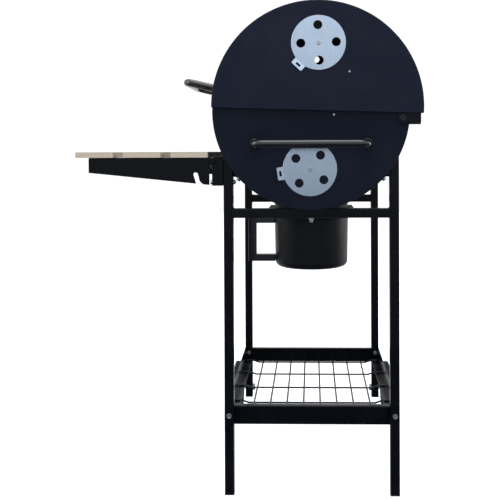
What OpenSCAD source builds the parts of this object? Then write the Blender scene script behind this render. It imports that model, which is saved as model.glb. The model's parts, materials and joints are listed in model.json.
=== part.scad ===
// Barrel charcoal grill on a square-tube cart.
// The barrel lies along X, the folding shelf is at the front (-Y), the lid
// hinges at the rear (+Y), and the two wheels are on the left end (-X).

/* [Barrel] */
// Outer radius of the bowl's end plates
bowl_r = 206; // [170:1:250]
// Length of the bowl over its end plates
bowl_len = 560; // [440:1:680]
// Height of the barrel's centre line above the floor
bowl_height = 811; // [740:1:980]
// Thickness of the rolled shells
shell_t = 1.2; // [0.8:0.1:2.5]
// Thickness of the pressed end plates
plate_t = 1.5; // [1:0.1:3]
// Width of the flange that each end plate turns over its shell
flange_w = 14; // [8:1:25]
// Gap between the bowl's rim and the lid's edge
seam_gap = 3.2; // [2:0.1:6]
// Slope of the seam, down towards the rear, in degrees
seam_tilt = 1.8; // [0:0.1:4]
// Radius of the bead along the rims
bead_r = 2.5; // [1.5:0.1:4]

/* [Lid] */
// How much larger the lid's radius is than the bowl's
lid_extra = 14; // [8:1:24]
// How far the lid's centre stands above the bowl's centre
lid_rise = 9; // [4:1:14]
// How far each end of the lid stands out past the bowl
lid_overhang = 12; // [9:1:20]
// Distance from the bowl's side to the hinge pivot, and from its centre line down to it
hinge_inset = 16; // [12:1:22]
// Radius of the hinge bolts
hinge_bolt_r = 4; // [3:0.5:5]
// Length of the hinge brackets along Y
hinge_bracket_len = 48; // [38:1:50]

/* [Vents] */
// Radius of the vent discs
vent_r = 56.5; // [50:0.5:62]
// Radius of the vent holes
vent_hole_r = 9.3; // [7:0.1:11]
// Radius of the circle on which the vent holes lie
vent_pitch_r = 36.5; // [30:0.5:42]
// Thickness of the vent discs
vent_t = 1.2; // [0.8:0.1:2]
// Distance from the bowl's edge up to the centre of its vents
bowl_vent_inset = 85; // [75:1:95]
// Distance from the lid's edge down to the centre of its vents
lid_vent_inset = 89; // [75:1:100]
// How far a closed vent is turned from open, in degrees
vent_turn = 45; // [40:1:50]

/* [Handles] */
// Outer radius of the handle tube
handle_r = 9; // [7:0.5:12]
// Wall of the handle tube
handle_wall = 1.2; // [0.8:0.1:2.5]
// Distance between the arms of the lid handle
lid_handle_span = 180; // [140:1:260]
// How far the lid handle's grip stands from the lid
lid_handle_reach = 95; // [60:1:110]
// Angle of the lid handle above the horizontal, in degrees
lid_handle_angle = 13; // [8:1:25]
// Distance between the arms of the side handle
side_handle_span = 234; // [180:1:260]
// How far the side handle's grip stands from the bowl
side_handle_reach = 52; // [45:1:80]
// How far the side handle lies below the barrel's centre line
side_handle_drop = 69; // [55:1:80]

/* [Cart] */
// Side of the square tube
tube = 20; // [16:1:30]
// Wall of the square tube
tube_wall = 1.2; // [1:0.1:2.5]
// Distance between the centres of the right and left legs
leg_span = 500; // [380:1:520]
// Distance from the bowl's side in to the outer face of the legs
leg_inset = 21; // [14:1:30]
// Height of the tray's lower edge above the floor
tray_z = 149; // [130:1:260]
// Height of the tray's panels and rails
tray_h = 39.5; // [30:0.5:60]
// Thickness of the tray's sheet
tray_t = 1.5; // [1:0.1:3]
// Width of the tray rails' inner flange
tray_flange = 18; // [14:1:24]
// Radius of the wire shelf's wires
wire_r = 1.75; // [1.5:0.05:2.5]
// How far the wire shelf hangs below the rails' flange
wire_drop = 5.5; // [5:0.5:12]

/* [Wheels] */
// Radius of the wheels
wheel_r = 70; // [60:1:100]
// Width of the wheels
wheel_w = 20; // [16:1:36]
// Radius of the axle
axle_r = 5; // [4:0.5:8]
// Gap between the legs and the wheel hubs
wheel_gap = 7; // [4:1:12]

/* [Front shelf] */
// How far the shelf's top stands above the front edge of the legs' tops
shelf_rise = 7.74; // [0:0.01:15]
// Width of one wooden slat
slat_w = 79; // [60:1:110]
// Thickness of the slats
slat_t = 12; // [9:0.5:20]
// Gap between two slats
slat_gap = 21.5; // [8:0.5:30]
// Length of the slats
slat_len = 552; // [540:1:700]
// Distance from the legs' front to the shelf's rear edge
shelf_gap = 30; // [28:1:40]
// Thickness of the shelf's arms
arm_t = 2; // [1.5:0.1:3]
// Depth of the arms at their front
arm_h_front = 32; // [24:1:45]
// Depth of the arms at their rear
arm_h_rear = 57; // [54:1:70]
// Radius of the shelf's pivot bolts
shelf_bolt_r = 3; // [2.5:0.5:4]

/* [Ash bucket] */
// Outer radius of the bucket at its mouth
bucket_r = 90; // [70:1:100]
// Height of the bucket below its flange
bucket_h = 133; // [110:1:180]
// Wall of the bucket
bucket_t = 1.5; // [1:0.1:3]
// Width of the bucket's flange
bucket_flange = 8.5; // [8:0.5:16]
// Length of the neck between the bowl and the rails
neck_drop = 18; // [10:1:30]

/* [Grates] */
// How far the cooking grates lie below the barrel's centre line
grate_drop = 27; // [20:1:40]
// Radius of the grates' wires
grate_wire_r = 2.5; // [2:0.1:4]
// How far the charcoal grate lies below the barrel's centre line
coal_drop = 168; // [150:1:175]
// Depth of the warming rack
rack_depth = 142; // [110:1:150]

/* [Clearances] */
// Play between pieces that move past each other
play = 0.3; // [0.2:0.05:0.6]
// Radial clearance of a pin that turns in its hole
pin_play = 0.05; // [0.02:0.01:0.1]
// Radial clearance of a fixed bolt in its hole
bolt_play = 0.25; // [0.1:0.05:0.5]

/* [Hidden] */
$fn = 64;

big = 1000;
eps = 0.01;
weld = 0.4;

// Barrel
shell_r = bowl_r - plate_t;
shell_ri = shell_r - shell_t;
bowl_end = bowl_len / 2;
lid_r = bowl_r + lid_extra;
lid_shell_r = lid_r - plate_t;
lid_y = lid_extra - 0.5;
lid_z = bowl_height + lid_rise;
lid_end = bowl_end + lid_overhang;

// Hinge
hinge_y = bowl_r - hinge_inset;
hinge_z = bowl_height - hinge_inset;
hinge_t = 2.5;
hinge_below = 13;
hinge_front = 10;
hinge_head_r = 7;
hinge_nut_r = 6.6;
washer_t = 1.2;
spacer_t = 1;
// the strap is cranked from the bowl's face out to the lid's over this height above the pivot
crank_from = 20;
crank_to = 27;
strap_top = 52;

// Warming rack: the four pivots form a parallelogram, so that the rack stays level
rack_bowl_pin = [hinge_y - rack_depth, hinge_z + 8];
rack_lid_pin = [hinge_y - 110, hinge_z + 96];
rack_free_pin = rack_bowl_pin + rack_lid_pin - [hinge_y, hinge_z];
rack_pin_r = 2;
// a bent wire is a little thicker at its bends
bend_swell = 0.15;
bail_x = bowl_end - 8;
rack_half = bail_x - 32;

// Vents
lid_vent = [lid_y + 2.9, lid_z + lid_r - lid_vent_inset];
bowl_vent = [-2.4, bowl_height - bowl_r + bowl_vent_inset];
lid_vent_angle = 2;
bowl_vent_angle = 52.6;
lid_tab_angle = 227;
bowl_tab_angle = 188.7;
vent_bolt_r = 3;
tab_w = 27;
tab_len = 17;
tab_bend = 32;

// Cart
leg_x = leg_span / 2;
leg_outer = bowl_r - leg_inset;
leg_y = leg_outer - tube / 2;
leg_inner = leg_outer - tube;
saddle_t = 2;
saddle_w = 24;
saddle_overlap = 22;
saddle_nut_h = 5;
saddle_bolt_in = 15;
axle_head_r = 9;
axle_head_h = 6;
panel_sink = 5;
saddle_r = shell_r + saddle_t;
cap_t = 3;
short_leg_z = wheel_r - 23;
crossbar_z = bowl_height - shell_r - tube;
tray_x = leg_x - tube / 2;
rail_y = leg_outer - 2;
m6_r = 3;
m6_head_r = 5.77;
m6_head_h = 4;
handle_foot = 5;
seat_play = 0.1;

// Wheels
hub_y = leg_outer + wheel_gap;
hub_w = wheel_w + 4;
tyre_h = 15;

// Front shelf
shelf_height = bowl_height - chord(saddle_r, leg_outer) + shelf_rise;
shelf_y = -leg_outer - shelf_gap;
shelf_depth = 3 * slat_w + 2 * slat_gap;
arm_top = shelf_height - slat_t;
arm_x = leg_x + tube / 2 + 2.5;
arm_inset = 25;
arm_flange = 20;
pivot_y = -leg_outer - 22;
pivot_z = arm_top - 9.5;
lug_r = 6.5;
pivot_head_r = 5;
pivot_nut_h = 3.5;
bracket_top = arm_top - 3;
bracket_bottom = bracket_top - arm_h_rear;
bracket_t = 1.8;
bracket_reach = 24;
bracket_bolt_z = [bracket_bottom + 7.5, bracket_top - 15.5];

// Ash bucket
neck_bottom = bowl_height - shell_r - neck_drop;
rail_t = 1.5;
rail_in = bucket_r + bucket_flange + 1;
bucket_flange_t = 1.5;
bucket_taper = 2;
bucket_z = neck_bottom - rail_t - 6;
bucket_grip = 20;
bucket_bar = 17;
bucket_bar_low = 11;
bucket_bar_cut = 12;
grip_reach = 54;

// Grates
grate_z = bowl_height - grate_drop;
coal_z = bowl_height - coal_drop;
ledge_w = 14;
ledge_t = 2;

// The whole grill is moved so that the origin is under the middle of its box
x_low = -leg_x - wheel_r;
x_high = bowl_end + side_handle_reach + handle_r;
y_low = shelf_y - shelf_depth;
y_high = lid_y + lid_r;
shift = [-(x_low + x_high) / 2, -(y_low + y_high) / 2, 0];

// ---------- helpers ----------

function chord(r, d) = sqrt(r * r - d * d);

// A cylinder along X, centred on x = 0
module x_cylinder(r, len, y = 0, z = 0) {
    translate([-len / 2, y, z]) rotate([0, 90, 0]) cylinder(r = r, h = len);
}

// A round bar between two points
module bar(a, b, r) {
    d = b - a;
    len = norm(d);
    translate(a) rotate([0, acos(d[2] / len), atan2(d[1], d[0])]) cylinder(r = r, h = len, $fn = 24);
}

// Children drawn in the Y-Z plane are given a thickness along X from x0
module x_plate(x0, t) {
    translate([x0, 0, 0]) rotate([90, 0, 90]) linear_extrude(t) children();
}

// Everything on the lower side of the seam
module below_seam() {
    translate([0, 0, bowl_height]) rotate([-seam_tilt, 0, 0])
        translate([-big, -big, -2 * big - seam_gap / 2]) cube(2 * big);
}

// Everything on the upper side of the seam
module above_seam() {
    translate([0, 0, bowl_height]) rotate([-seam_tilt, 0, 0])
        translate([-big, -big, seam_gap / 2]) cube(2 * big);
}

// The part of a piece made for the right end, or its mirror image for the left
module at_end(side) {
    if (side > 0) children();
    else mirror([1, 0, 0]) children();
}

module both_ends() {
    for (side = [1, -1]) at_end(side) children();
}

module both_sides() {
    children();
    mirror([0, 1, 0]) children();
}

// A hexagon-headed bolt: the shank runs from the origin along -Z, the head stands on +Z
module bolt(r, len, head_r, head_h, nut_at = 0) {
    translate([0, 0, -len]) cylinder(r = r, h = len + eps, $fn = 32);
    cylinder(r = head_r, h = head_h, $fn = 6);
    if (nut_at > 0) translate([0, 0, -nut_at - head_h]) cylinder(r = head_r, h = head_h, $fn = 6);
}

// A bolt whose head is on the +X side
module x_bolt(pos, r, len, head_r, head_h, nut_at = 0) {
    translate(pos) rotate([0, 90, 0]) bolt(r, len, head_r, head_h, nut_at);
}

// Solid U: arms along +Z from the origin, joined by a grip at the height of reach
module u_bar(span, reach, r, bend_r) {
    for (side = [1, -1]) scale([side, 1, 1]) {
        translate([span / 2, 0, 0]) cylinder(r = r, h = reach - bend_r + eps);
        translate([span / 2 - bend_r, 0, reach - bend_r]) rotate([90, 0, 0])
            rotate_extrude(angle = 90) translate([bend_r, 0]) circle(r = r);
    }
    translate([-(span / 2 - bend_r) - eps, 0, reach]) rotate([0, 90, 0])
        cylinder(r = r, h = span - 2 * bend_r + 2 * eps);
}

// A U-shaped handle of bent tube with a round foot at each end
module u_handle(span, reach, bend_r) {
    difference() {
        u_bar(span, reach, handle_r, bend_r);
        translate([0, 0, -eps]) u_bar(span, reach + eps, handle_r - handle_wall, bend_r);
    }
    for (x = [-span / 2, span / 2]) translate([x, 0, 0]) difference() {
        cylinder(r = handle_r - handle_wall, h = handle_foot);
        translate([0, 0, -1]) cylinder(r = m6_r + bolt_play, h = handle_foot + 2);
    }
}

// ---------- barrel ----------

module barrel_shell(r, len) {
    difference() {
        x_cylinder(r, len, $fn = 128);
        x_cylinder(r - shell_t, len + 2, $fn = 128);
    }
}

// An end plate for the right end: a disc and the flange that turns over the shell
module end_plate(r, x_end) {
    translate([x_end - plate_t, 0, 0]) rotate([0, 90, 0]) cylinder(r = r, h = plate_t, $fn = 128);
    difference() {
        translate([x_end - flange_w, 0, 0]) rotate([0, 90, 0]) cylinder(r = r, h = flange_w - eps, $fn = 128);
        translate([x_end - flange_w - 1, 0, 0]) rotate([0, 90, 0])
            cylinder(r = r - plate_t, h = flange_w + 1 - plate_t, $fn = 128);
    }
}

// Four air holes and the hole for the vent's bolt, cut along X at the right end
module vent_cuts(centre, x_end, angle) {
    translate([x_end - 5, centre[0], centre[1]]) rotate([0, 90, 0]) {
        cylinder(r = vent_bolt_r + bolt_play, h = 10);
        // an angle measured in the Y-Z plane from +Y
        for (a = [0 : 90 : 270]) rotate([0, 0, angle + a + 90])
            translate([vent_pitch_r, 0, 0]) cylinder(r = vent_hole_r, h = 10);
    }
}

module rim_bead(side, r_in, up) {
    translate([0, 0, bowl_height]) rotate([-seam_tilt, 0, 0])
        x_cylinder(bead_r, bowl_len - 2 * plate_t, side * (r_in - bead_r + weld), up * (seam_gap / 2 + bead_r), $fn = 24);
}

module bowl_shell() {
    color([0.09, 0.1, 0.13]) difference() {
        union() {
            intersection() {
                translate([0, 0, bowl_height]) barrel_shell(shell_r, bowl_len - 2 * plate_t);
                below_seam();
            }
            for (side = [1, -1]) rim_bead(side, shell_ri, -1);
        }
        translate([0, 0, bowl_height - bowl_r - 5]) cylinder(r = bucket_r - 4, h = bowl_r / 2);
        for (s = [1, -1]) {
            translate([s * leg_x, 0, bowl_height - bowl_r - 5]) cylinder(r = m6_r + bolt_play, h = 20);
            for (t = [1, -1]) saddle_bolt_place(s, t) translate([0, 0, -10]) cylinder(r = m6_r + bolt_play, h = 20);
        }
    }
}

// An end plate of the bowl with its air holes and the holes for what turns or is bolted in it
module bowl_plate(side, vent_angle) {
    color([0.1, 0.12, 0.16]) at_end(side) difference() {
        intersection() {
            translate([0, 0, bowl_height]) end_plate(bowl_r, bowl_end);
            below_seam();
        }
        vent_cuts(bowl_vent, bowl_end, vent_angle);
        x_cylinder(hinge_bolt_r + bolt_play, 2 * bowl_len, hinge_y, hinge_z);
        x_cylinder(rack_pin_r + pin_play, 2 * bowl_len, rack_bowl_pin[0], rack_bowl_pin[1]);
        if (side > 0) for (y = [-side_handle_span / 2, side_handle_span / 2])
            x_cylinder(m6_r + bolt_play, 2 * bowl_len, y, bowl_height - side_handle_drop);
    }
}

module lid_shell() {
    color([0.1, 0.11, 0.15]) difference() {
        intersection() {
            translate([0, lid_y, lid_z]) barrel_shell(lid_shell_r, 2 * (lid_end - plate_t));
            above_seam();
        }
        for (x = [-lid_handle_span / 2, lid_handle_span / 2]) lid_handle_place() translate([x, 0, -20])
            cylinder(r = m6_r + bolt_play, h = 30);
    }
}

module lid_plate(side) {
    color([0.13, 0.15, 0.2]) at_end(side) difference() {
        intersection() {
            translate([0, lid_y, lid_z]) end_plate(lid_r, lid_end);
            above_seam();
        }
        vent_cuts(lid_vent, lid_end, lid_vent_angle);
        x_cylinder(rack_pin_r + pin_play, 2 * lid_end + 20, rack_lid_pin[0], rack_lid_pin[1]);
    }
}

// ---------- hinge ----------

// A cranked strap: its lower half lies beside the bowl, its upper half is welded inside the lid's end plate
module hinge_bracket(side) {
    low_x = bowl_end + spacer_t;
    high_x = lid_end - plate_t - hinge_t;
    low_z = hinge_z - hinge_below;
    color([0.12, 0.13, 0.16]) at_end(side) difference() {
        intersection() {
            translate([0, hinge_y - hinge_front, 0]) rotate([90, 0, 0]) mirror([0, 0, 1])
                linear_extrude(hinge_bracket_len) polygon([
                    [low_x, low_z], [low_x + hinge_t, low_z], [low_x + hinge_t, hinge_z + crank_from],
                    [high_x + hinge_t, hinge_z + crank_to], [high_x + hinge_t, hinge_z + strap_top],
                    [high_x, hinge_z + strap_top], [high_x, hinge_z + crank_to + 1],
                    [low_x, hinge_z + crank_from + 1]
                ]);
            translate([0, lid_y, lid_z]) x_cylinder(lid_shell_r - shell_t - 0.5, 2 * big, $fn = 128);
        }
        x_cylinder(hinge_bolt_r + pin_play, 2 * big, hinge_y, hinge_z);
        // rounded lower front corner
        translate([0, hinge_y - hinge_front, low_z]) corner_cut(5);
    }
}

// Takes the sharp corner off a plate in the Y-Z plane: the corner is at the origin, the plate on its +Y and +Z side
module corner_cut(r) {
    translate([-big, 0, 0]) rotate([90, 0, 90]) linear_extrude(2 * big) difference() {
        translate([-r, -r]) square(2 * r);
        translate([r, r]) circle(r = r);
    }
}

// Each hinge bolt with its spacer washer and its nut inside the bowl
module hinge_bolts() {
    color("silver") both_ends() translate([0, hinge_y, hinge_z]) {
        nut_h = 5;
        head_x = bowl_end + spacer_t + hinge_t + play + washer_t;
        x_bolt([head_x, 0, 0], hinge_bolt_r, head_x - bowl_end + plate_t + nut_h + 4, hinge_nut_r, 4.5);
        translate([head_x - washer_t, 0, 0]) rotate([0, 90, 0]) cylinder(r = hinge_head_r, h = washer_t + eps);
        translate([bowl_end, 0, 0]) rotate([0, 90, 0]) cylinder(r = hinge_head_r, h = spacer_t - play);
        translate([bowl_end - plate_t - nut_h, 0, 0]) rotate([0, 90, 0]) cylinder(r = hinge_nut_r, h = nut_h, $fn = 6);
    }
}

// ---------- vents ----------

// A disc with four holes and a bent tab, made flat in X-Y around its own bolt
module vent_shape(tab_from_holes) {
    chord_at = chord(vent_r, tab_w / 2);
    difference() {
        union() {
            cylinder(r = vent_r, h = vent_t, $fn = 96);
            rotate([0, 0, tab_from_holes]) translate([chord_at - 1, 0, 0]) rotate([0, -tab_bend, 0])
                translate([0, -tab_w / 2, 0]) cube([tab_len + 1, tab_w, vent_t]);
        }
        for (a = [0 : 90 : 270]) rotate([0, 0, a]) translate([vent_pitch_r, 0, -1]) cylinder(r = vent_hole_r, h = 5);
        translate([0, 0, -1]) cylinder(r = vent_bolt_r + pin_play, h = 5);
        rotate([0, 0, tab_from_holes]) translate([chord_at - 1, 0, 0]) rotate([0, -tab_bend, 0])
            translate([tab_len * 0.6, 0, -1]) {
                translate([-2.5, -4, 0]) cube([5, 8, 5]);
                for (y = [-4, 4]) translate([0, y, 0]) cylinder(r = 2.5, h = 5, $fn = 32);
            }
        // nothing of the tab's root reaches back into the end plate
        translate([-big, -big, -big]) cube([2 * big, 2 * big, big]);
    }
}

// Angles are seen from the grill's right end, from the rear, turning upwards
module vent_disc(side, centre, x_end, hole_angle, tab_angle) {
    color([0.72, 0.76, 0.82]) at_end(side) translate([x_end + play, centre[0], centre[1]])
        rotate([90, 0, 90]) rotate([0, 0, hole_angle]) vent_shape(tab_angle - hole_angle);
}

module vent_bolts(centre, x_end) {
    head_x = play + vent_t + play;
    color("silver") both_ends() translate([x_end, centre[0], centre[1]]) {
        x_bolt([head_x, 0, 0], vent_bolt_r, head_x + plate_t + 8, m6_head_r, 3);
        translate([-plate_t - 4, 0, 0]) rotate([0, 90, 0]) cylinder(r = m6_head_r, h = 4, $fn = 6);
    }
}

// ---------- handles ----------

// Z points out of the lid along the handle's arms, X along the barrel
module lid_handle_place() {
    translate([0, lid_y, lid_z]) rotate([90 - lid_handle_angle, 0, 0]) translate([0, 0, lid_shell_r]) children();
}

module lid_handle() {
    color([0.04, 0.04, 0.05]) lid_handle_place() u_handle(lid_handle_span, lid_handle_reach, 26);
}

module lid_handle_nuts() {
    color("silver") lid_handle_place() for (x = [-lid_handle_span / 2, lid_handle_span / 2])
        translate([x, 0, -shell_t - seat_play]) mirror([0, 0, 1])
            bolt(m6_r, shell_t + handle_foot, m6_head_r, m6_head_h);
}

module side_handle() {
    color([0.04, 0.04, 0.05]) translate([bowl_end, 0, bowl_height - side_handle_drop]) rotate([90, 0, 90])
        u_handle(side_handle_span, side_handle_reach, 26);
}

module side_handle_nuts() {
    color("silver") for (y = [-side_handle_span / 2, side_handle_span / 2])
        translate([bowl_end - plate_t, y, bowl_height - side_handle_drop]) rotate([0, -90, 0])
            bolt(m6_r, plate_t + handle_foot, m6_head_r, m6_head_h);
}

// ---------- inside the barrel ----------

// One angle rail under a grate, welded along the shell at the height of its top
module ledge(top_z, side) {
    half = chord(shell_ri, bowl_height - top_z);
    intersection() {
        translate([-bowl_end + 25, side > 0 ? half - ledge_w : -half, 0]) {
            translate([0, 0, top_z - ledge_t]) cube([bowl_len - 50, ledge_w, ledge_t]);
            translate([0, side > 0 ? 0 : ledge_w - ledge_t, top_z - ledge_w / 2])
                cube([bowl_len - 50, ledge_t, ledge_w / 2]);
        }
        translate([0, 0, bowl_height]) x_cylinder(shell_ri, bowl_len, $fn = 128);
    }
}

module grate_ledges() {
    color([0.15, 0.15, 0.16]) for (side = [1, -1]) {
        ledge(grate_z, side);
        ledge(coal_z, side);
    }
}

// A grate of parallel bars along Y on two cross bars, with a frame bar at each end
module grate(x0, x1, half_y, z, pitch) {
    count = max(2, round((x1 - x0) / pitch));
    step = (x1 - x0 - 2 * grate_wire_r) / count;
    for (i = [0 : count]) bar(
        [x0 + grate_wire_r + i * step, -half_y, z + 3 * grate_wire_r - weld],
        [x0 + grate_wire_r + i * step, half_y, z + 3 * grate_wire_r - weld], grate_wire_r);
    for (y = [-half_y + grate_wire_r, 0, half_y - grate_wire_r])
        bar([x0, y, z + grate_wire_r], [x1, y, z + grate_wire_r], grate_wire_r);
}

module cooking_grate(side) {
    half = chord(shell_ri, bowl_height - grate_z) - 5;
    color([0.55, 0.55, 0.56]) at_end(side) grate(2, bowl_end - 14, half, grate_z, 16);
}

module charcoal_grate() {
    half = chord(shell_ri, bowl_height - coal_z) - 3;
    color([0.3, 0.3, 0.31]) grate(-bowl_end + 14, bowl_end - 14, half, coal_z, 18);
}

// The rack hangs from the lid at its rear rod; eyes at its front hold the bail's rod
module warming_rack() {
    rear = rack_lid_pin;
    front = rack_free_pin;
    eye_r = rack_pin_r + play + 2.2;
    dir = (front - rear) / norm(front - rear);
    front_bar = front - dir * (eye_r + 1);
    color([0.7, 0.7, 0.72]) difference() {
        union() {
            bar([-lid_end - 2, rear[0], rear[1]], [lid_end + 2, rear[0], rear[1]], rack_pin_r);
            bar([-rack_half, front_bar[0], front_bar[1]], [rack_half, front_bar[0], front_bar[1]], rack_pin_r);
            for (i = [-8 : 8]) bar(
                [i * rack_half / 8.2, rear[0], rear[1]], [i * rack_half / 8.2, front_bar[0], front_bar[1]], 1.5);
            for (s = [1, -1]) translate([s * (rack_half - 20), front[0], front[1]]) rotate([0, 90, 0])
                cylinder(r = eye_r, h = 5, center = true, $fn = 32);
        }
        translate([0, front[0], front[1]]) x_cylinder(rack_pin_r + play, 2 * rack_half, $fn = 32);
    }
}

// A bent rod: its ends turn in the bowl's end plates and its middle holds the rack's front
module rack_bail() {
    a = rack_bowl_pin;
    c = rack_free_pin;
    run = rack_pin_r * (c - a) / norm(c - a);
    color([0.7, 0.7, 0.72]) {
        for (s = [1, -1]) {
            bar([s * (bail_x - rack_pin_r), a[0], a[1]], [s * (bowl_end + 2), a[0], a[1]], rack_pin_r);
            bar([s * bail_x, a[0] - run[0], a[1] - run[1]], [s * bail_x, c[0] + run[0], c[1] + run[1]],
                rack_pin_r + bend_swell);
        }
        bar([-bail_x, c[0], c[1]], [bail_x, c[0], c[1]], rack_pin_r);
    }
}

// ---------- ash neck and bucket ----------

// The neck under the bowl and the two rails on which the bucket slides out to the front
module ash_neck() {
    rail_len = 2 * (bucket_r + bucket_flange) + 12;
    color([0.1, 0.1, 0.12]) {
        difference() {
            translate([0, 0, neck_bottom]) cylinder(r = bucket_r - 1, h = neck_drop + 30);
            translate([0, 0, neck_bottom - 1]) cylinder(r = bucket_r - 1 - shell_t, h = neck_drop + 40);
            translate([0, 0, bowl_height]) x_cylinder(shell_r, bowl_len, $fn = 128);
        }
        difference() {
            translate([-rail_in - rail_t, -rail_len / 2, neck_bottom - rail_t])
                cube([2 * (rail_in + rail_t), rail_len, rail_t]);
            translate([0, 0, neck_bottom - 5]) cylinder(r = bucket_r - 1 - shell_t, h = 10);
        }
        for (s = [1, -1]) scale([s, 1, 1]) {
            translate([rail_in, -rail_len / 2, bucket_z - bucket_flange_t - play - rail_t])
                cube([rail_t, rail_len, neck_bottom - bucket_z + bucket_flange_t + play + rail_t - eps]);
            translate([bucket_r + 3, -rail_len / 2, bucket_z - bucket_flange_t - play - rail_t])
                cube([rail_in - bucket_r - 3 + eps, rail_len, rail_t]);
        }
    }
}

// The bucket: slightly tapered, with a rounded bottom edge and a flat flange
module ash_bucket() {
    foot_r = bucket_r - bucket_taper;
    edge = 14;
    in_edge = edge - bucket_t;
    top = bucket_z;
    bottom = top - bucket_h;
    color([0.07, 0.07, 0.08]) {
        translate([0, 0, bottom]) rotate_extrude($fn = 96) polygon(concat(
            [[0, 0]],
            [for (a = [-90 : 15 : 0]) [foot_r - edge + edge * cos(a), edge + edge * sin(a)]],
            [
                [bucket_r, bucket_h - bucket_flange_t], [bucket_r + bucket_flange, bucket_h - bucket_flange_t],
                [bucket_r + bucket_flange, bucket_h], [bucket_r - bucket_t, bucket_h]
            ],
            [for (a = [0 : -15 : -90]) [foot_r - edge + in_edge * cos(a), edge + in_edge * sin(a)]],
            [[0, bucket_t]]
        ));
        // pull lip turned up at the front of the flange
        translate([-18, -bucket_r - bucket_flange - 1, top - bucket_flange_t + eps]) cube([36, 4, 5]);
    }
}

// A bent square bar at the front of the bucket
module bucket_handle() {
    top = bucket_z - 12;
    bottom = bucket_z - bucket_h + bucket_bar_low;
    grip_y = -bucket_r - grip_reach;
    w = bucket_grip;
    color([0.05, 0.05, 0.06]) difference() {
        union() {
            translate([-w / 2, grip_y - w / 2, bottom]) cube([w, w, top - bottom]);
            for (z = [bottom, top - w]) translate([-w / 2, grip_y, z]) cube([w, grip_reach + 8, w]);
        }
        translate([0, 0, bucket_z - bucket_h]) cylinder(r1 = bucket_r - bucket_taper, r2 = bucket_r, h = bucket_h, $fn = 96);
        // the bar is thinner along Z where it joins the bucket
        for (z = [bottom + bucket_bar, top - bucket_bar - bucket_bar_cut]) translate([-w, grip_y + w / 2, z])
            cube([2 * w, big, bucket_bar_cut]);
    }
}

// ---------- cart ----------

// One leg at its place: s is the end (+1 right), t is the side (+1 rear)
module leg(s, t, foot) {
    color([0.07, 0.08, 0.1]) difference() {
        translate([s * leg_x - tube / 2, t * leg_y - tube / 2, foot]) cube([tube, tube, bowl_height - foot]);
        translate([s * leg_x - tube / 2 + tube_wall, t * leg_y - tube / 2 + tube_wall, foot - 1])
            cube([tube - 2 * tube_wall, tube - 2 * tube_wall, bowl_height]);
        translate([0, 0, bowl_height]) x_cylinder(saddle_r, bowl_len, $fn = 128);
        // tray bolt
        translate([s * leg_x, t * leg_y, tray_z + tray_h / 2]) rotate([0, 90, 0])
            cylinder(r = m6_r + bolt_play, h = 3 * tube, center = true);
        // shelf bracket bolts
        if (t < 0) for (z = bracket_bolt_z) translate([s * leg_x, t * leg_y, z]) rotate([90, 0, 0])
            cylinder(r = m6_r + bolt_play, h = 2 * tube, center = true);
        if (s < 0) translate([s * leg_x, 0, wheel_r]) rotate([90, 0, 0])
            cylinder(r = axle_r + bolt_play, h = 2 * big, center = true);
    }
}

// A plug in the foot of each leg; those of the right legs stand on the floor
module leg_caps() {
    color([0.03, 0.03, 0.03]) for (s = [1, -1], t = [1, -1]) {
        foot = s > 0 ? cap_t : short_leg_z;
        in = tube / 2 - tube_wall - 0.1;
        translate([s * leg_x, t * leg_y, foot]) {
            translate([-tube / 2, -tube / 2, -cap_t]) cube([tube, tube, cap_t]);
            translate([-in, -in, -eps]) cube([2 * in, 2 * in, 8]);
        }
    }
}

module crossbar(s) {
    color([0.07, 0.08, 0.1]) difference() {
        translate([s * leg_x - tube / 2, -leg_inner, crossbar_z]) cube([tube, 2 * leg_inner, tube]);
        translate([s * leg_x - tube / 2 + tube_wall, -leg_inner - 1, crossbar_z + tube_wall])
            cube([tube - 2 * tube_wall, 2 * leg_inner + 2, tube - 2 * tube_wall]);
        translate([s * leg_x, 0, crossbar_z - 1]) cylinder(r = m6_r + bolt_play, h = tube + 5);
    }
}

// Z points into the bowl, along the bolt that holds the saddle at end s and side t
module saddle_bolt_place(s, t) {
    angle = asin((leg_inner - saddle_bolt_in) / shell_r);
    translate([s * leg_x, 0, bowl_height]) rotate([t * angle, 0, 0]) translate([0, 0, -shell_r]) children();
}

// Curved pads on the tops of the legs, each with a web down to the leg's inner face
module bowl_saddles() {
    low = leg_inner - saddle_overlap;
    color([0.08, 0.09, 0.11]) for (s = [1, -1], t = [1, -1]) difference() {
        union() {
            intersection() {
                translate([s * leg_x, 0, bowl_height]) x_cylinder(saddle_r, saddle_w, $fn = 128);
                translate([s * leg_x - saddle_w / 2, t > 0 ? low : -leg_outer - 3, bowl_height - bowl_r])
                    cube([saddle_w, leg_outer + 3 - low, bowl_r]);
            }
            // web
            translate([s * leg_x - tube / 2, t > 0 ? leg_inner - 9 : -leg_inner, bowl_height - chord(saddle_r, leg_inner) - 14])
                cube([2, 9, 40]);
        }
        translate([0, 0, bowl_height]) x_cylinder(shell_r, bowl_len, $fn = 128);
        saddle_bolt_place(s, t) translate([0, 0, -10]) cylinder(r = m6_r + bolt_play, h = 20);
    }
}

// Bolts through the bowl: two down through the crossbars, four out through the saddles
module bowl_bolts() {
    color("silver") for (s = [1, -1]) {
        translate([s * leg_x, 0, bowl_height - shell_ri + seat_play])
            bolt(m6_r, tube + shell_t + 10, m6_head_r, m6_head_h);
        translate([s * leg_x, 0, crossbar_z - 5]) cylinder(r = m6_head_r, h = 5, $fn = 6);
        for (t = [1, -1]) saddle_bolt_place(s, t) {
            translate([0, 0, shell_t + seat_play]) bolt(m6_r, shell_t + saddle_t + 7, m6_head_r, m6_head_h);
            translate([0, 0, -saddle_t - saddle_nut_h]) cylinder(r = m6_head_r, h = saddle_nut_h, $fn = 6);
        }
    }
}

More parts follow.
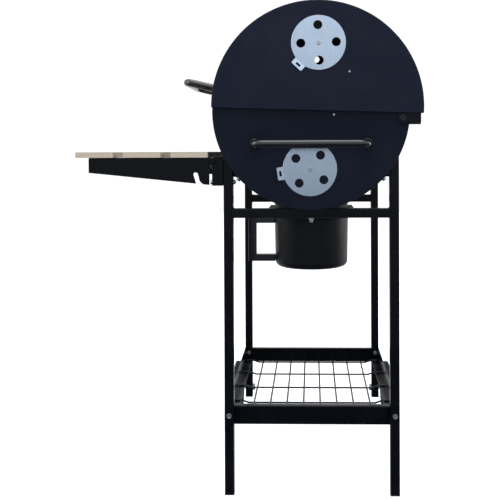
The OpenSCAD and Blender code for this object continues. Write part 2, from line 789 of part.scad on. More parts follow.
// A tray panel behind the legs of one end, its top turned in over the tray; the right one hangs lower
module tray_panel(s) {
    low = tray_z - (s > 0 ? panel_sink : 0);
    color([0.08, 0.09, 0.11]) at_end(s) difference() {
        union() {
            translate([tray_x - tray_t, -leg_outer + 1, low]) cube([tray_t, 2 * leg_outer - 2, tray_h]);
            translate([tray_x - 14, -leg_outer + 1 + 14, low + tray_h - tray_t])
                cube([14, 2 * leg_outer - 2 - 28, tray_t]);
        }
        for (t = [1, -1]) x_cylinder(m6_r + bolt_play, 2 * big, t * leg_y, tray_z + tray_h / 2);
    }
}

// A tray rail along one side, its lower edge turned in under the wire shelf
module tray_rail(t) {
    len = 2 * (tray_x - tray_t);
    color([0.08, 0.09, 0.11]) scale([1, t, 1]) {
        translate([-len / 2, rail_y - tray_t, tray_z]) cube([len, tray_t, tray_h]);
        translate([-len / 2, rail_y - tray_flange, tray_z]) cube([len, tray_flange, tray_t]);
    }
}

// Wires along X on cross wires along Y, whose ends rise onto the rails' flanges
module wire_shelf() {
    plane = tray_z + tray_t + wire_r - wire_drop;
    foot_z = tray_z + tray_t + wire_r;
    bend_out = rail_y - tray_flange - 2;
    bend_in = bend_out - 16;
    half_x = tray_x - tray_t - 10;
    slope = (foot_z - plane) / (bend_out - bend_in);
    lap = 0.9;
    color([0.06, 0.06, 0.07]) {
        for (i = [-3.5 : 1 : 3.5]) bar(
            [-half_x, i * bend_in / 3.83, plane + 2 * wire_r - weld],
            [half_x, i * bend_in / 3.83, plane + 2 * wire_r - weld], wire_r);
        for (i = [-2 : 2]) {
            x = i * (half_x - 8) / 2;
            bar([x, -bend_in - lap, plane], [x, bend_in + lap, plane], wire_r);
            for (t = [1, -1]) {
                bar([x, t * (bend_in - lap), plane - slope * lap], [x, t * (bend_out + lap), foot_z + slope * lap],
                    wire_r + bend_swell);
                bar([x, t * (bend_out - lap), foot_z], [x, t * (rail_y - tray_t - 2), foot_z], wire_r);
            }
        }
    }
}

module tray_bolts() {
    color("silver") both_ends() for (t = [1, -1]) {
        x_bolt([leg_x + tube / 2, t * leg_y, tray_z + tray_h / 2], m6_r, tube + tray_t + 8, m6_head_r, m6_head_h,
            tube + tray_t);
    }
}

// ---------- wheels ----------

// A stub axle on each side: its head bears on the inner face of the leg
module axle() {
    end = hub_y + hub_w + 4;
    color("silver") both_sides() translate([-leg_x, leg_inner - axle_head_h, wheel_r]) rotate([-90, 0, 0]) {
        cylinder(r = axle_head_r, h = axle_head_h, $fn = 6);
        cylinder(r = axle_r, h = end - leg_inner + axle_head_h, $fn = 48);
    }
}

// Caps pressed on the ends of the axle
module axle_caps() {
    inner = hub_y + hub_w + play;
    color([0.03, 0.03, 0.03]) both_sides() translate([-leg_x, inner, wheel_r]) rotate([-90, 0, 0]) difference() {
        union() {
            cylinder(r = axle_r + 3, h = 4);
            translate([0, 0, 4]) cylinder(r1 = axle_r + 3, r2 = axle_r + 1, h = 2);
        }
        translate([0, 0, -1]) cylinder(r = axle_r, h = 1 + hub_y + hub_w + 4 - inner, $fn = 48);
    }
}

module wheel_place(t) {
    scale([1, t, 1]) translate([-leg_x, hub_y + (hub_w - wheel_w) / 2, wheel_r]) rotate([-90, 0, 0]) children();
}

module tyre(t) {
    in = wheel_r - tyre_h;
    round = 5;
    color([0.1, 0.1, 0.1]) wheel_place(t) rotate_extrude($fn = 96) difference() {
        union() {
            translate([in, 0]) square([tyre_h - round, wheel_w]);
            translate([in, round]) square([tyre_h, wheel_w - 2 * round]);
            for (y = [round, wheel_w - round]) translate([wheel_r - round, y]) circle(r = round, $fn = 32);
        }
        translate([in - 1, 3]) square([2, wheel_w - 6]);
    }
}

module wheel_hub(t) {
    rim = wheel_r - tyre_h;
    color([0.05, 0.05, 0.05]) wheel_place(t) difference() {
        union() {
            translate([0, 0, 3.1]) cylinder(r = rim + 0.9, h = wheel_w - 6.2, $fn = 96);
            translate([0, 0, 1]) cylinder(r = rim - 0.1, h = wheel_w - 2, $fn = 96);
            translate([0, 0, -(hub_w - wheel_w) / 2]) cylinder(r = axle_r + 8, h = hub_w);
        }
        for (z = [-1, wheel_w / 2 + 2]) translate([0, 0, z]) difference() {
            cylinder(r = rim - 5, h = wheel_w / 2 - 1, $fn = 96);
            cylinder(r = axle_r + 8, h = wheel_w);
            for (a = [0 : 60 : 300]) rotate([0, 0, a]) translate([0, -3, 0]) cube([rim, 6, wheel_w]);
        }
        for (a = [0 : 60 : 300]) rotate([0, 0, a + 30]) translate([(rim + axle_r) / 2 + 1, 0, -5])
            cylinder(r = (rim - axle_r) / 2 - 12, h = wheel_w + 10);
        translate([0, 0, -big / 2]) cylinder(r = axle_r + pin_play, h = big, $fn = 48);
    }
}

// ---------- front shelf ----------

// A channel bolted to the leg's front, its outer wall carrying the pivot
module shelf_bracket(s) {
    outer = leg_x + tube / 2;
    front = -leg_outer - bracket_reach;
    h = bracket_top - bracket_bottom;
    color([0.07, 0.08, 0.1]) at_end(s) difference() {
        union() {
            translate([outer - bracket_t, front, bracket_bottom]) cube([bracket_t, bracket_reach, h]);
            translate([outer - tube + 2, -leg_outer - bracket_t, bracket_bottom]) cube([tube - 2, bracket_t, h]);
            translate([outer - tube + 2, front, bracket_bottom]) cube([tube - 2, bracket_t, h]);
            x_plate(outer - bracket_t, bracket_t) {
                translate([pivot_y, pivot_z]) circle(r = lug_r);
                translate([pivot_y, pivot_z - lug_r]) square([bracket_reach / 2, 2 * lug_r]);
            }
        }
        for (z = bracket_bolt_z) translate([leg_x, 0, z]) rotate([90, 0, 0])
            cylinder(r = m6_r + bolt_play, h = 2 * big, center = true);
        x_cylinder(shelf_bolt_r + bolt_play, 2 * big, pivot_y, pivot_z);
        // room for the pivot bolt's nut in the front wall
        translate([outer - bracket_t - pivot_nut_h - 1, pivot_y, pivot_z]) rotate([0, 90, 0])
            cylinder(r = pivot_head_r + play, h = pivot_nut_h + 1);
    }
}

// Two bolts hold each bracket: the lower one goes through the leg, the upper one ends in a nut inside it
module bracket_bolts() {
    front = -leg_outer - bracket_reach;
    grips = [bracket_reach + tube, bracket_reach + tube_wall];
    color("silver") for (s = [1, -1], i = [0, 1]) translate([s * leg_x, front, bracket_bolt_z[i]]) rotate([90, 0, 0])
        bolt(m6_r, grips[i] + m6_head_h + 2, m6_head_r, m6_head_h, grips[i]);
}

// The shelf turns on these, with a spacer between bracket and arm
module shelf_pivot_bolts() {
    outer = leg_x + tube / 2;
    color("silver") both_ends() translate([0, pivot_y, pivot_z]) {
        head_x = arm_x + arm_t + play;
        x_bolt([head_x, 0, 0], shelf_bolt_r, head_x - outer + bracket_t + pivot_nut_h + 2.5, pivot_head_r, 3);
        translate([outer, 0, 0]) rotate([0, 90, 0]) cylinder(r = pivot_head_r + 0.5, h = arm_x - outer - play);
        translate([outer - bracket_t - pivot_nut_h, 0, 0]) rotate([0, 90, 0])
            cylinder(r = pivot_head_r, h = pivot_nut_h, $fn = 6);
    }
}

// The arm's outline in the Y-Z plane: deeper towards the grill, with a lug round the pivot and a hook slot
module arm_outline() {
    front = shelf_y - shelf_depth + arm_inset;
    rear = shelf_y + 1;
    slot_w = 9.5;
    slot_y = rear - 29;
    difference() {
        union() {
            polygon([
                [front, arm_top], [front, arm_top - arm_h_front], [rear - 12, arm_top - arm_h_rear],
                [rear, arm_top - arm_h_rear - 1], [rear, arm_top]
            ]);
            translate([rear - 1, pivot_z - lug_r]) square([pivot_y - rear + 1, arm_top - pivot_z + lug_r]);
            translate([pivot_y, pivot_z]) circle(r = lug_r);
        }
        // the slot leans towards the grill as it opens downwards, and its rear side flares out
        translate([slot_y, arm_top - arm_h_rear + 21]) polygon(concat(
            [for (a = [190 : -20 : 10]) [slot_w / 2 * cos(a), slot_w / 2 * sin(a)]],
            [for (a = [0 : 15 : 75]) [slot_w / 2 + 13 - 11 * cos(a), -6 - 14 * sin(a)]],
            [[slot_w / 2 + 14, -30], [0, -30], [0, -16]]
        ));
    }
}

module shelf_arm(s) {
    front = shelf_y - shelf_depth + arm_inset;
    color([0.06, 0.07, 0.09]) at_end(s) difference() {
        union() {
            x_plate(arm_x, arm_t) arm_outline();
            translate([arm_x + arm_t - arm_flange, front, arm_top - arm_t])
                cube([arm_flange, shelf_depth - arm_inset, arm_t]);
        }
        x_cylinder(shelf_bolt_r + pin_play, 2 * big, pivot_y, pivot_z);
        slat_screw_places() translate([0, 0, -30]) cylinder(r = 2 + bolt_play, h = 60, $fn = 24);
    }
}

// Two screws through the arm's flange into each end of each slat, on the right end
module slat_screw_places() {
    for (i = [0 : 2], d = [-slat_w / 4, slat_w / 4])
        if (slat_front_y(i) + slat_w / 2 + d > shelf_y - shelf_depth + arm_inset + 6)
            translate([arm_x - 8, slat_front_y(i) + slat_w / 2 + d, arm_top - arm_t]) children();
}

function slat_front_y(i) = shelf_y - shelf_depth + i * (slat_w + slat_gap);

module slat(i) {
    edge = 1.2;
    color([0.72, 0.68, 0.62]) difference() {
        translate([-slat_len / 2, slat_front_y(i), arm_top]) rotate([90, 0, 90]) linear_extrude(slat_len)
            polygon([
                [0, 0], [slat_w, 0], [slat_w, slat_t - edge], [slat_w - edge, slat_t],
                [edge, slat_t], [0, slat_t - edge]
            ]);
        both_ends() slat_screw_places() cylinder(r = 2, h = arm_t + slat_t - 3, $fn = 24);
    }
}

module slat_screws() {
    color("silver") both_ends() slat_screw_places() {
        translate([0, 0, -eps]) cylinder(r = 2, h = arm_t + slat_t - 3, $fn = 24);
        translate([0, 0, -2]) cylinder(r = 4, h = 2, $fn = 24);
    }
}

translate(shift) {
    leg(1, -1, cap_t);  // leg_right_front
    leg(1, 1, cap_t);  // leg_right_rear
    leg(-1, -1, short_leg_z);  // leg_left_front
    leg(-1, 1, short_leg_z);  // leg_left_rear
    leg_caps();
    crossbar(1);  // crossbar_right
    crossbar(-1);  // crossbar_left
    bowl_saddles();
    tray_panel(1);  // tray_panel_right
    tray_panel(-1);  // tray_panel_left
    tray_rail(-1);  // tray_rail_front
    tray_rail(1);  // tray_rail_rear
    wire_shelf();
    tray_bolts();
    bowl_bolts();
    axle();
    axle_caps();
    tyre(-1);  // tyre_front
    tyre(1);  // tyre_rear
    wheel_hub(-1);  // wheel_hub_front
    wheel_hub(1);  // wheel_hub_rear
    bowl_shell();
    bowl_plate(1, bowl_vent_angle - vent_turn);  // bowl_plate_right
    bowl_plate(-1, bowl_vent_angle - vent_turn);  // bowl_plate_left
    vent_bolts(bowl_vent, bowl_end);  // bowl_vent_bolts
    side_handle();
    side_handle_nuts();
    hinge_bolts();
    grate_ledges();
    ash_neck();
    lid_shell();
    lid_plate(1);  // lid_plate_right
    lid_plate(-1);  // lid_plate_left
    vent_bolts(lid_vent, lid_end);  // lid_vent_bolts
    hinge_bracket(1);  // hinge_bracket_right
    hinge_bracket(-1);  // hinge_bracket_left
    lid_handle();
    lid_handle_nuts();
    vent_disc(1, lid_vent, lid_end, lid_vent_angle, lid_tab_angle);  // lid_vent_right
    vent_disc(-1, lid_vent, lid_end, lid_vent_angle, lid_tab_angle);  // lid_vent_left
    vent_disc(1, bowl_vent, bowl_end, bowl_vent_angle, bowl_tab_angle);  // bowl_vent_right
    vent_disc(-1, bowl_vent, bowl_end, bowl_vent_angle, bowl_tab_angle);  // bowl_vent_left
    warming_rack();
    rack_bail();
    shelf_bracket(1);  // shelf_bracket_right
    shelf_bracket(-1);  // shelf_bracket_left
    bracket_bolts();
    shelf_pivot_bolts();
    shelf_arm(1);  // shelf_arm_right
    shelf_arm(-1);  // shelf_arm_left
    slat(0);  // slat_front
    slat(1);  // slat_middle
    slat(2);  // slat_rear
    slat_screws();
    ash_bucket();
    bucket_handle();
    cooking_grate(1);  // cooking_grate_right
    cooking_grate(-1);  // cooking_grate_left
    charcoal_grate();
}
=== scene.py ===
import json
import math

import bpy
from mathutils import Matrix, Vector

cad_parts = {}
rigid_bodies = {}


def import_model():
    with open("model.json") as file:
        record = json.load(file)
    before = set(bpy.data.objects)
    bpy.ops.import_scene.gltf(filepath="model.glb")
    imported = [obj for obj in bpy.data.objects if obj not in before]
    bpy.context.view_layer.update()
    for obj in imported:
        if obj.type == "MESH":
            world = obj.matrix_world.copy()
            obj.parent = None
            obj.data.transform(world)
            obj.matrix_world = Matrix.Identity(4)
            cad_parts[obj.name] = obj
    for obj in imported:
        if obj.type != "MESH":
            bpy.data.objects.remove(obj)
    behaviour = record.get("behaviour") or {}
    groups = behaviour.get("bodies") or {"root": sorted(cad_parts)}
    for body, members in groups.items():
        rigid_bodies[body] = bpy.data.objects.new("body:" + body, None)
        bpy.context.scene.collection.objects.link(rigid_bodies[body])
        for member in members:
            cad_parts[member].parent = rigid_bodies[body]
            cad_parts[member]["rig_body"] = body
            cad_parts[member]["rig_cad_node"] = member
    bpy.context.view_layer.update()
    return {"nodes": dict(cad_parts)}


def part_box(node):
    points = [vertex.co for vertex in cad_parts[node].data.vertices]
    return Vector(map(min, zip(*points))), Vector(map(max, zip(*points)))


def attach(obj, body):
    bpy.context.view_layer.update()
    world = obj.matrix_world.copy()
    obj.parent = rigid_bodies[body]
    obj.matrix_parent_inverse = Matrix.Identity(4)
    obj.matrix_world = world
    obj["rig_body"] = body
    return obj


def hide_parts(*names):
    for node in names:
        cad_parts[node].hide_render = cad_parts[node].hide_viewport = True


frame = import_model()
mm = 0.001
hair = 0.1 * mm   # closer than this counts as the same place
xAxis, yAxis, zAxis = Vector((1, 0, 0)), Vector((0, 1, 0)), Vector((0, 0, 1))
print("frame loaded:", len(frame["nodes"]), "nodes")


# the barrel and the cart, as the frame has them
def middle(node):
    low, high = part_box(node)
    return (low + high) / 2


grillX = middle("bowl_shell").x
legLine = middle("axle").y
bowlLow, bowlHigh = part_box("bowl_plate_right")
bowlRadius = legLine - bowlLow.y
bowlCentre = Vector((grillX, legLine, bowlLow.z + bowlRadius))
lidLow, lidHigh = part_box("lid_plate_right")
lidRadius = (lidHigh.y - lidLow.y) / 2
lidCentre = Vector((grillX, lidLow.y + lidRadius, lidHigh.z - lidRadius))

barrel = {
    "seamTilt": math.radians(1.8),   # the seam falls towards the rear
    "seamGap": 3.2 * mm,
    "bowlRise": 3.0 * mm,            # how far the bowl stands up inside the lid
    "sheet": 1.2 * mm,               # rolled shells
    "plate": 1.5 * mm,               # pressed end plates
    "rimRadius": 2.6 * mm,           # rounding where a plate turns over its shell
    "rimRing": 1.5 * mm,             # the flat's own ring inside that rounding
    "hem": 4 * mm,                   # how far a shell's long edges turn inwards
    "plateEdge": 0.3 * mm,
    "shellEdge": 0.5 * mm,
    "neckHole": 84 * mm,             # radius of the opening over the ash neck
    "facets": 160,
}
seamUp = Vector((0, math.sin(barrel["seamTilt"]), math.cos(barrel["seamTilt"])))


view = {
    "place": (1.8223, 0.1322, 0.7273),
    "yaw": math.radians(1.38),       # turned towards the shelf
    "pitch": math.radians(0.32),     # tipped down
    "roll": math.radians(-0.225),
    "lens": 53.81,
    "shift": (-0.0873, -0.1892),
}


def makeCamera():
    bpy.ops.object.camera_add(location=view["place"])
    camera = bpy.context.object
    camera.name = "photographer"
    camera.data.lens = view["lens"]
    camera.data.shift_x, camera.data.shift_y = view["shift"]
    ahead = Vector((
        -math.cos(view["yaw"]) * math.cos(view["pitch"]),
        -math.sin(view["yaw"]) * math.cos(view["pitch"]),
        -math.sin(view["pitch"]),
    ))
    level = ahead.to_track_quat("-Z", "Y")
    camera.rotation_mode = "QUATERNION"
    camera.rotation_quaternion = level @ Matrix.Rotation(view["roll"], 4, "Z").to_quaternion()
    bpy.context.scene.camera = camera


studio = {
    "lamps": {                       # place, width and height, watts, colour
        "overhead": ((0.3, 0.1, 2.7), (2.4, 2.4), 46, (1.0, 0.99, 0.97)),
        "shelfSide": ((0.2, -2.4, 1.5), (1.0, 2.2), 12, (0.97, 0.99, 1.0)),
        "hingeSide": ((-0.9, 2.6, 1.3), (1.0, 2.2), 18, (0.97, 0.99, 1.0)),
    },
    "lowSky": (0.04, 0.05, 0.075),   # what the object reflects from below on the camera's side
    "highSky": (0.88, 0.98, 1.08),   # and from well above
    "skyFrom": -0.22,
    "skyTo": 0.24,
    "farSky": (0.80, 0.81, 0.82),    # the pale wall at the far end
    "farFrom": -0.15,
    "farTo": -0.75,
    "backdrop": (1.0, 1.0, 1.0),     # what shows behind the object
    "backdropStrength": 1.1,
    "floorSize": 14.0,
    "floor": {"Base Color": (0.9, 0.9, 0.9, 1), "Roughness": 0.9, "Specular IOR Level": 0.1,
              "Emission Color": (1, 1, 1, 1), "Emission Strength": 0.55},
}


def makeLamps():
    target = Vector((0, 0, 0.6))
    for name, (place, size, watts, colour) in studio["lamps"].items():
        bpy.ops.object.light_add(type="AREA", location=place)
        lamp = bpy.context.object
        lamp.name = name
        lamp.data.shape = "RECTANGLE"
        lamp.data.size, lamp.data.size_y = size
        lamp.data.energy = watts
        lamp.data.color = colour
        lamp.rotation_mode = "QUATERNION"
        lamp.rotation_quaternion = (target - Vector(place)).to_track_quat("-Z", "Y")
        lamp.visible_camera = False


# a node with its settings by name and its first inputs in order; a value is a number, a colour or a socket
def addNode(tree, kind, *ordered, **settings):
    node = tree.nodes.new(kind)
    for key, value in list(settings.items()) + list(enumerate(ordered)):
        if isinstance(key, str):
            if hasattr(node, key) and key not in node.inputs:
                setattr(node, key, value)
                continue
            key = key.replace("_", " ")
        if isinstance(value, bpy.types.NodeSocket):
            tree.links.new(value, node.inputs[key])
        else:
            node.inputs[key].default_value = value
    return node


def noise(tree, place, **settings):
    return addNode(tree, "ShaderNodeTexNoise", Vector=place, **settings).outputs


def reckon(tree, operation, *values):
    return addNode(tree, "ShaderNodeMath", *values, operation=operation).outputs[0]


def vectorReckon(tree, operation, *values):
    return addNode(tree, "ShaderNodeVectorMath", *values, operation=operation).outputs["Vector"]


def ranged(tree, value, **limits):
    return addNode(tree, "ShaderNodeMapRange", Value=value, **limits).outputs["Result"]


def mixed(tree, share, first, second):
    return addNode(tree, "ShaderNodeMix", data_type="RGBA", Factor=share, A=first, B=second).outputs["Result"]


def bumped(tree, height, strength, distance):
    return addNode(tree, "ShaderNodeBump", Height=height, Strength=strength, Distance=distance).outputs["Normal"]


def makeSky():
    world = bpy.data.worlds.new("studioSky")
    world.use_nodes = True
    tree = world.node_tree
    tree.nodes.clear()
    place = addNode(tree, "ShaderNodeTexCoord").outputs["Generated"]
    parts = addNode(tree, "ShaderNodeSeparateXYZ", place).outputs
    height = ranged(tree, parts["Z"], From_Min=studio["skyFrom"], From_Max=studio["skyTo"])
    away = ranged(tree, parts["X"], From_Min=studio["farFrom"], From_Max=studio["farTo"])
    sky = mixed(tree, height, (*studio["lowSky"], 1), (*studio["highSky"], 1))
    sky = mixed(tree, away, sky, (*studio["farSky"], 1))
    around = addNode(tree, "ShaderNodeBackground", Color=sky)
    behind = addNode(tree, "ShaderNodeBackground", Color=(*studio["backdrop"], 1), Strength=studio["backdropStrength"])
    path = addNode(tree, "ShaderNodeLightPath")
    either = addNode(tree, "ShaderNodeMixShader", path.outputs["Is Camera Ray"], around.outputs["Background"],
                     behind.outputs["Background"])
    addNode(tree, "ShaderNodeOutputWorld", Surface=either.outputs["Shader"])
    bpy.context.scene.world = world


def makeFloor():
    bpy.ops.mesh.primitive_plane_add(size=studio["floorSize"])
    floor = bpy.context.object
    floor.name = "studioFloor"
    paint = bpy.data.materials.new("paleFloor")
    paint.use_nodes = True
    shader = paint.node_tree.nodes["Principled BSDF"]
    for key, value in studio["floor"].items():
        shader.inputs[key].default_value = value
    floor.data.materials.append(paint)
    floor.visible_glossy = False


bpy.ops.object.select_all(action="DESELECT")
makeCamera()
makeLamps()
makeSky()
makeFloor()
bpy.context.scene.view_settings.view_transform = "Standard"
print("camera, lamps, sky and floor made")


# what every piece is made with
def deselectAll():
    if bpy.context.object and bpy.context.object.mode != "OBJECT":
        bpy.ops.object.mode_set(mode="OBJECT")
    bpy.ops.object.select_all(action="DESELECT")


def takeNew(name):
    piece = bpy.context.object
    piece.name = name
    piece.data.name = name
    bpy.ops.object.transform_apply(location=True, rotation=True, scale=True)
    return piece


def work(piece):
    deselectAll()
    piece.select_set(True)
    bpy.context.view_layer.objects.active = piece


def openAll():
    bpy.ops.object.mode_set(mode="EDIT")
    bpy.ops.mesh.select_mode(type="FACE")
    bpy.ops.mesh.select_all(action="SELECT")


def close():
    bpy.ops.object.mode_set(mode="OBJECT")


def facing(axis):
    return axis.to_track_quat("Z", "Y").to_euler()


# selects what passes the test and stays in edit mode; a vertex is tested by its place,
# an edge by its middle and direction, and a face by its middle and normal
def pick(kind, test):
    close()
    mesh = bpy.context.object.data
    for items in (mesh.vertices, mesh.edges, mesh.polygons):
        items.foreach_set("select", [False] * len(items))
    if kind == "VERT":
        for vertex in mesh.vertices:
            vertex.select = test(vertex.co)
    elif kind == "EDGE":
        for edge in mesh.edges:
            a, b = (mesh.vertices[i].co for i in edge.vertices)
            edge.select = test((a + b) / 2, (b - a).normalized())
    else:
        for face in mesh.polygons:
            face.select = test(face.center, face.normal)
    bpy.context.tool_settings.mesh_select_mode = (kind == "VERT", kind == "EDGE", kind == "FACE")
    bpy.ops.object.mode_set(mode="EDIT")


def extrudeBy(step):
    bpy.ops.mesh.extrude_region_move(TRANSFORM_OT_translate={"value": step})


def outward():
    bpy.ops.mesh.select_all(action="SELECT")
    bpy.ops.mesh.remove_doubles(threshold=0.00001)
    bpy.ops.mesh.normals_make_consistent(inside=False)


def modify(piece, kind, **settings):
    work(piece)
    modifier = piece.modifiers.new(kind.lower(), kind)
    for key, value in settings.items():
        setattr(modifier, key, value)
    bpy.ops.object.modifier_apply(modifier=modifier.name)


def combine(piece, tool, operation):
    modify(piece, "BOOLEAN", object=tool, operation=operation, solver="EXACT")
    bpy.data.objects.remove(tool)


def soften(piece, width, segments=2, angle=30):
    modify(piece, "BEVEL", width=width, segments=segments, limit_method="ANGLE",
           angle_limit=math.radians(angle), harden_normals=False)


# a block between two corners
def block(name, low, high):
    low, high = Vector(low), Vector(high)
    deselectAll()
    bpy.ops.mesh.primitive_cube_add(size=1, location=(low + high) / 2, scale=high - low)
    return takeNew(name)


def rod(name, start, end, radius, facets=32):
    start, end = Vector(start), Vector(end)
    deselectAll()
    bpy.ops.mesh.primitive_cylinder_add(vertices=facets, radius=radius, depth=(end - start).length,
                                        location=(start + end) / 2, rotation=facing(end - start))
    return takeNew(name)


# rings of (radius, height) along an axis, as on a lathe; a hoop comes back to its first ring
def turned(name, centre, axis, rings, facets=64, hoop=False):
    deselectAll()
    centre = Vector(centre)
    bpy.ops.mesh.primitive_circle_add(
        vertices=facets, radius=rings[0][0], fill_type="NOTHING" if hoop else "NGON",
        location=centre + axis * rings[0][1], rotation=facing(axis))
    piece = takeNew(name)
    bpy.ops.object.mode_set(mode="EDIT")
    bpy.ops.mesh.select_mode(type="EDGE" if hoop else "FACE")
    bpy.ops.mesh.select_all(action="SELECT")
    for before, after in zip(rings, rings[1:] + (rings[:1] if hoop else [])):
        extrudeBy(axis * (after[1] - before[1]))
        if after[0] != before[0]:
            share = after[0] / before[0]
            bpy.ops.transform.resize(value=(share, share, share), center_override=centre + axis * after[1])
    outward()
    close()
    return piece


# a bar that goes straight and turns: moves are ("go", length) and ("turn", axis, bend radius, angle)
def bentBar(name, start, heading, moves, radius, facets=24, steps=8):
    deselectAll()
    point, heading = Vector(start), Vector(heading).normalized()
    bpy.ops.mesh.primitive_circle_add(vertices=facets, radius=radius, fill_type="NGON",
                                      location=point, rotation=facing(heading))
    piece = takeNew(name)
    openAll()
    for move in moves:
        if move[0] == "go":
            extrudeBy(heading * move[1])
            point = point + heading * move[1]
        else:
            axis, bend, angle = Vector(move[1]), move[2], move[3]
            hub = point + axis.cross(heading) * bend
            bpy.ops.mesh.spin(steps=steps, angle=-angle, center=hub, axis=axis)
            turn = Matrix.Rotation(angle, 3, axis)
            point = hub + turn @ (point - hub)
            heading = turn @ heading
    outward()
    close()
    return piece


def moved(piece, matrix):
    piece.data.transform(matrix)
    if matrix.to_3x3().determinant() < 0:
        piece.data.flip_normals()
    return piece


def copied(piece, name, matrix):
    twin = piece.copy()
    twin.data = piece.data.copy()
    twin.name = name
    twin.data.name = name
    bpy.context.scene.collection.objects.link(twin)
    return moved(twin, matrix)


def mirrorAbout(place, axis):
    return Matrix.Translation(place) @ Matrix.Scale(-1, 4, axis) @ Matrix.Translation(-Vector(place))


toLeft = mirrorAbout(Vector((grillX, 0, 0)), xAxis)
toRear = mirrorAbout(Vector((0, legLine, 0)), yAxis)


def joined(name, pieces):
    deselectAll()
    for piece in pieces:
        piece.select_set(True)
    bpy.context.view_layer.objects.active = pieces[0]
    if len(pieces) > 1:
        bpy.ops.object.join()
    pieces[0].name = name
    pieces[0].data.name = name
    return pieces[0]


# a copy of a CAD piece with its corners rounded
def roundedCopy(node, name, width=0.4 * mm, segments=2, angle=30):
    source = frame["nodes"][node]
    piece = source.copy()
    piece.data = source.data.copy()
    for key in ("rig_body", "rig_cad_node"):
        del piece[key]
    piece.parent = None
    piece.name = name
    piece.data.name = name
    bpy.context.scene.collection.objects.link(piece)
    work(piece)
    openAll()
    bpy.ops.mesh.remove_doubles(threshold=0.000004)
    bpy.ops.mesh.dissolve_limited(angle_limit=math.radians(1))
    close()
    if width > 0:
        soften(piece, width, segments, angle)
    return piece


def settle(piece, material, body, slot, *nodes):
    work(piece)
    piece.data.materials.clear()
    piece.data.materials.append(material)
    bpy.ops.object.shade_smooth_by_angle(angle=math.radians(38))
    modify(piece, "WEIGHTED_NORMAL", keep_sharp=True, weight=80)
    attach(piece, body)
    if nodes:
        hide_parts(*nodes)
    return piece


# settles a piece and its mirrored twin; a vent's twin rides on its own body
def settlePair(piece, mirror, material, body, slot, node, sides=("right", "left")):
    here, there = sides
    twin = copied(piece, piece.name.replace(here.capitalize(), there.capitalize()), mirror)
    settle(piece, material, body, slot, node)
    settle(twin, material, body.replace(here, there), slot, node.replace(here, there))


# a CAD piece whose shape is right keeps its mesh and takes a finish
def dress(node, material):
    mesh = frame["nodes"][node].data
    mesh.materials.clear()
    mesh.materials.append(material)


def newGroup(name, inputs, outputs):
    tree = bpy.data.node_groups.new(name, "ShaderNodeTree")
    for label, kind, value in inputs:
        socket = tree.interface.new_socket(name=label, in_out="INPUT", socket_type="NodeSocket" + kind)
        socket.default_value = value
    for label, kind in outputs:
        tree.interface.new_socket(name=label, in_out="OUTPUT", socket_type="NodeSocket" + kind)
    return tree, tree.nodes.new("NodeGroupInput"), tree.nodes.new("NodeGroupOutput")


def put(tree, made, **sockets):
    for key, socket in sockets.items():
        tree.links.new(socket, made.inputs[key])


# the group's roughness, spread about its middle by a pattern
def roughened(tree, pattern, given):
    centred = reckon(tree, "SUBTRACT", pattern, 0.5)
    return reckon(tree, "MULTIPLY_ADD", centred, given.outputs["Spread"], given.outputs["Rough"])


# sprayed paint: fine orange peel, handling marks in the gloss, and a little dust on what faces up
def paintGroup():
    tree, given, made = newGroup(
        "sprayedPaint",
        [("Colour", "Color", (0.02, 0.02, 0.02, 1)), ("Worn", "Color", (0.04, 0.04, 0.04, 1)),
         ("Peel Scale", "Float", 700.0), ("Peel", "Float", 0.3), ("Rough", "Float", 0.4),
         ("Spread", "Float", 0.12), ("Dust", "Float", 0.1)],
        [("Colour", "Color"), ("Rough", "Float"), ("Normal", "Vector")])
    place = addNode(tree, "ShaderNodeTexCoord").outputs["Object"]
    peel = noise(tree, place, Scale=given.outputs["Peel Scale"], Detail=2.0, Roughness=0.5)["Fac"]
    smears = noise(tree, place, Scale=9.0, Detail=6.0, Roughness=0.62, Distortion=0.6)["Fac"]
    patches = ranged(tree, smears, From_Min=0.45, From_Max=0.75)
    shade = mixed(tree, patches, given.outputs["Colour"], given.outputs["Worn"])
    # dust lies where the surface looks up, in specks
    lie = addNode(tree, "ShaderNodeNewGeometry").outputs["Normal"]
    up = ranged(tree, addNode(tree, "ShaderNodeSeparateXYZ", lie).outputs["Z"], From_Min=0.35, From_Max=1.0)
    specks = noise(tree, place, Scale=160.0, Detail=5.0, Roughness=0.7)["Fac"]
    laid = reckon(tree, "MULTIPLY", up, ranged(tree, specks, From_Min=0.45, From_Max=0.8))
    amount = reckon(tree, "MULTIPLY", laid, given.outputs["Dust"])
    put(tree, made, Colour=mixed(tree, amount, shade, (0.35, 0.34, 0.32, 1)),
        Rough=roughened(tree, smears, given), Normal=bumped(tree, peel, given.outputs["Peel"], 0.00012))
    return tree


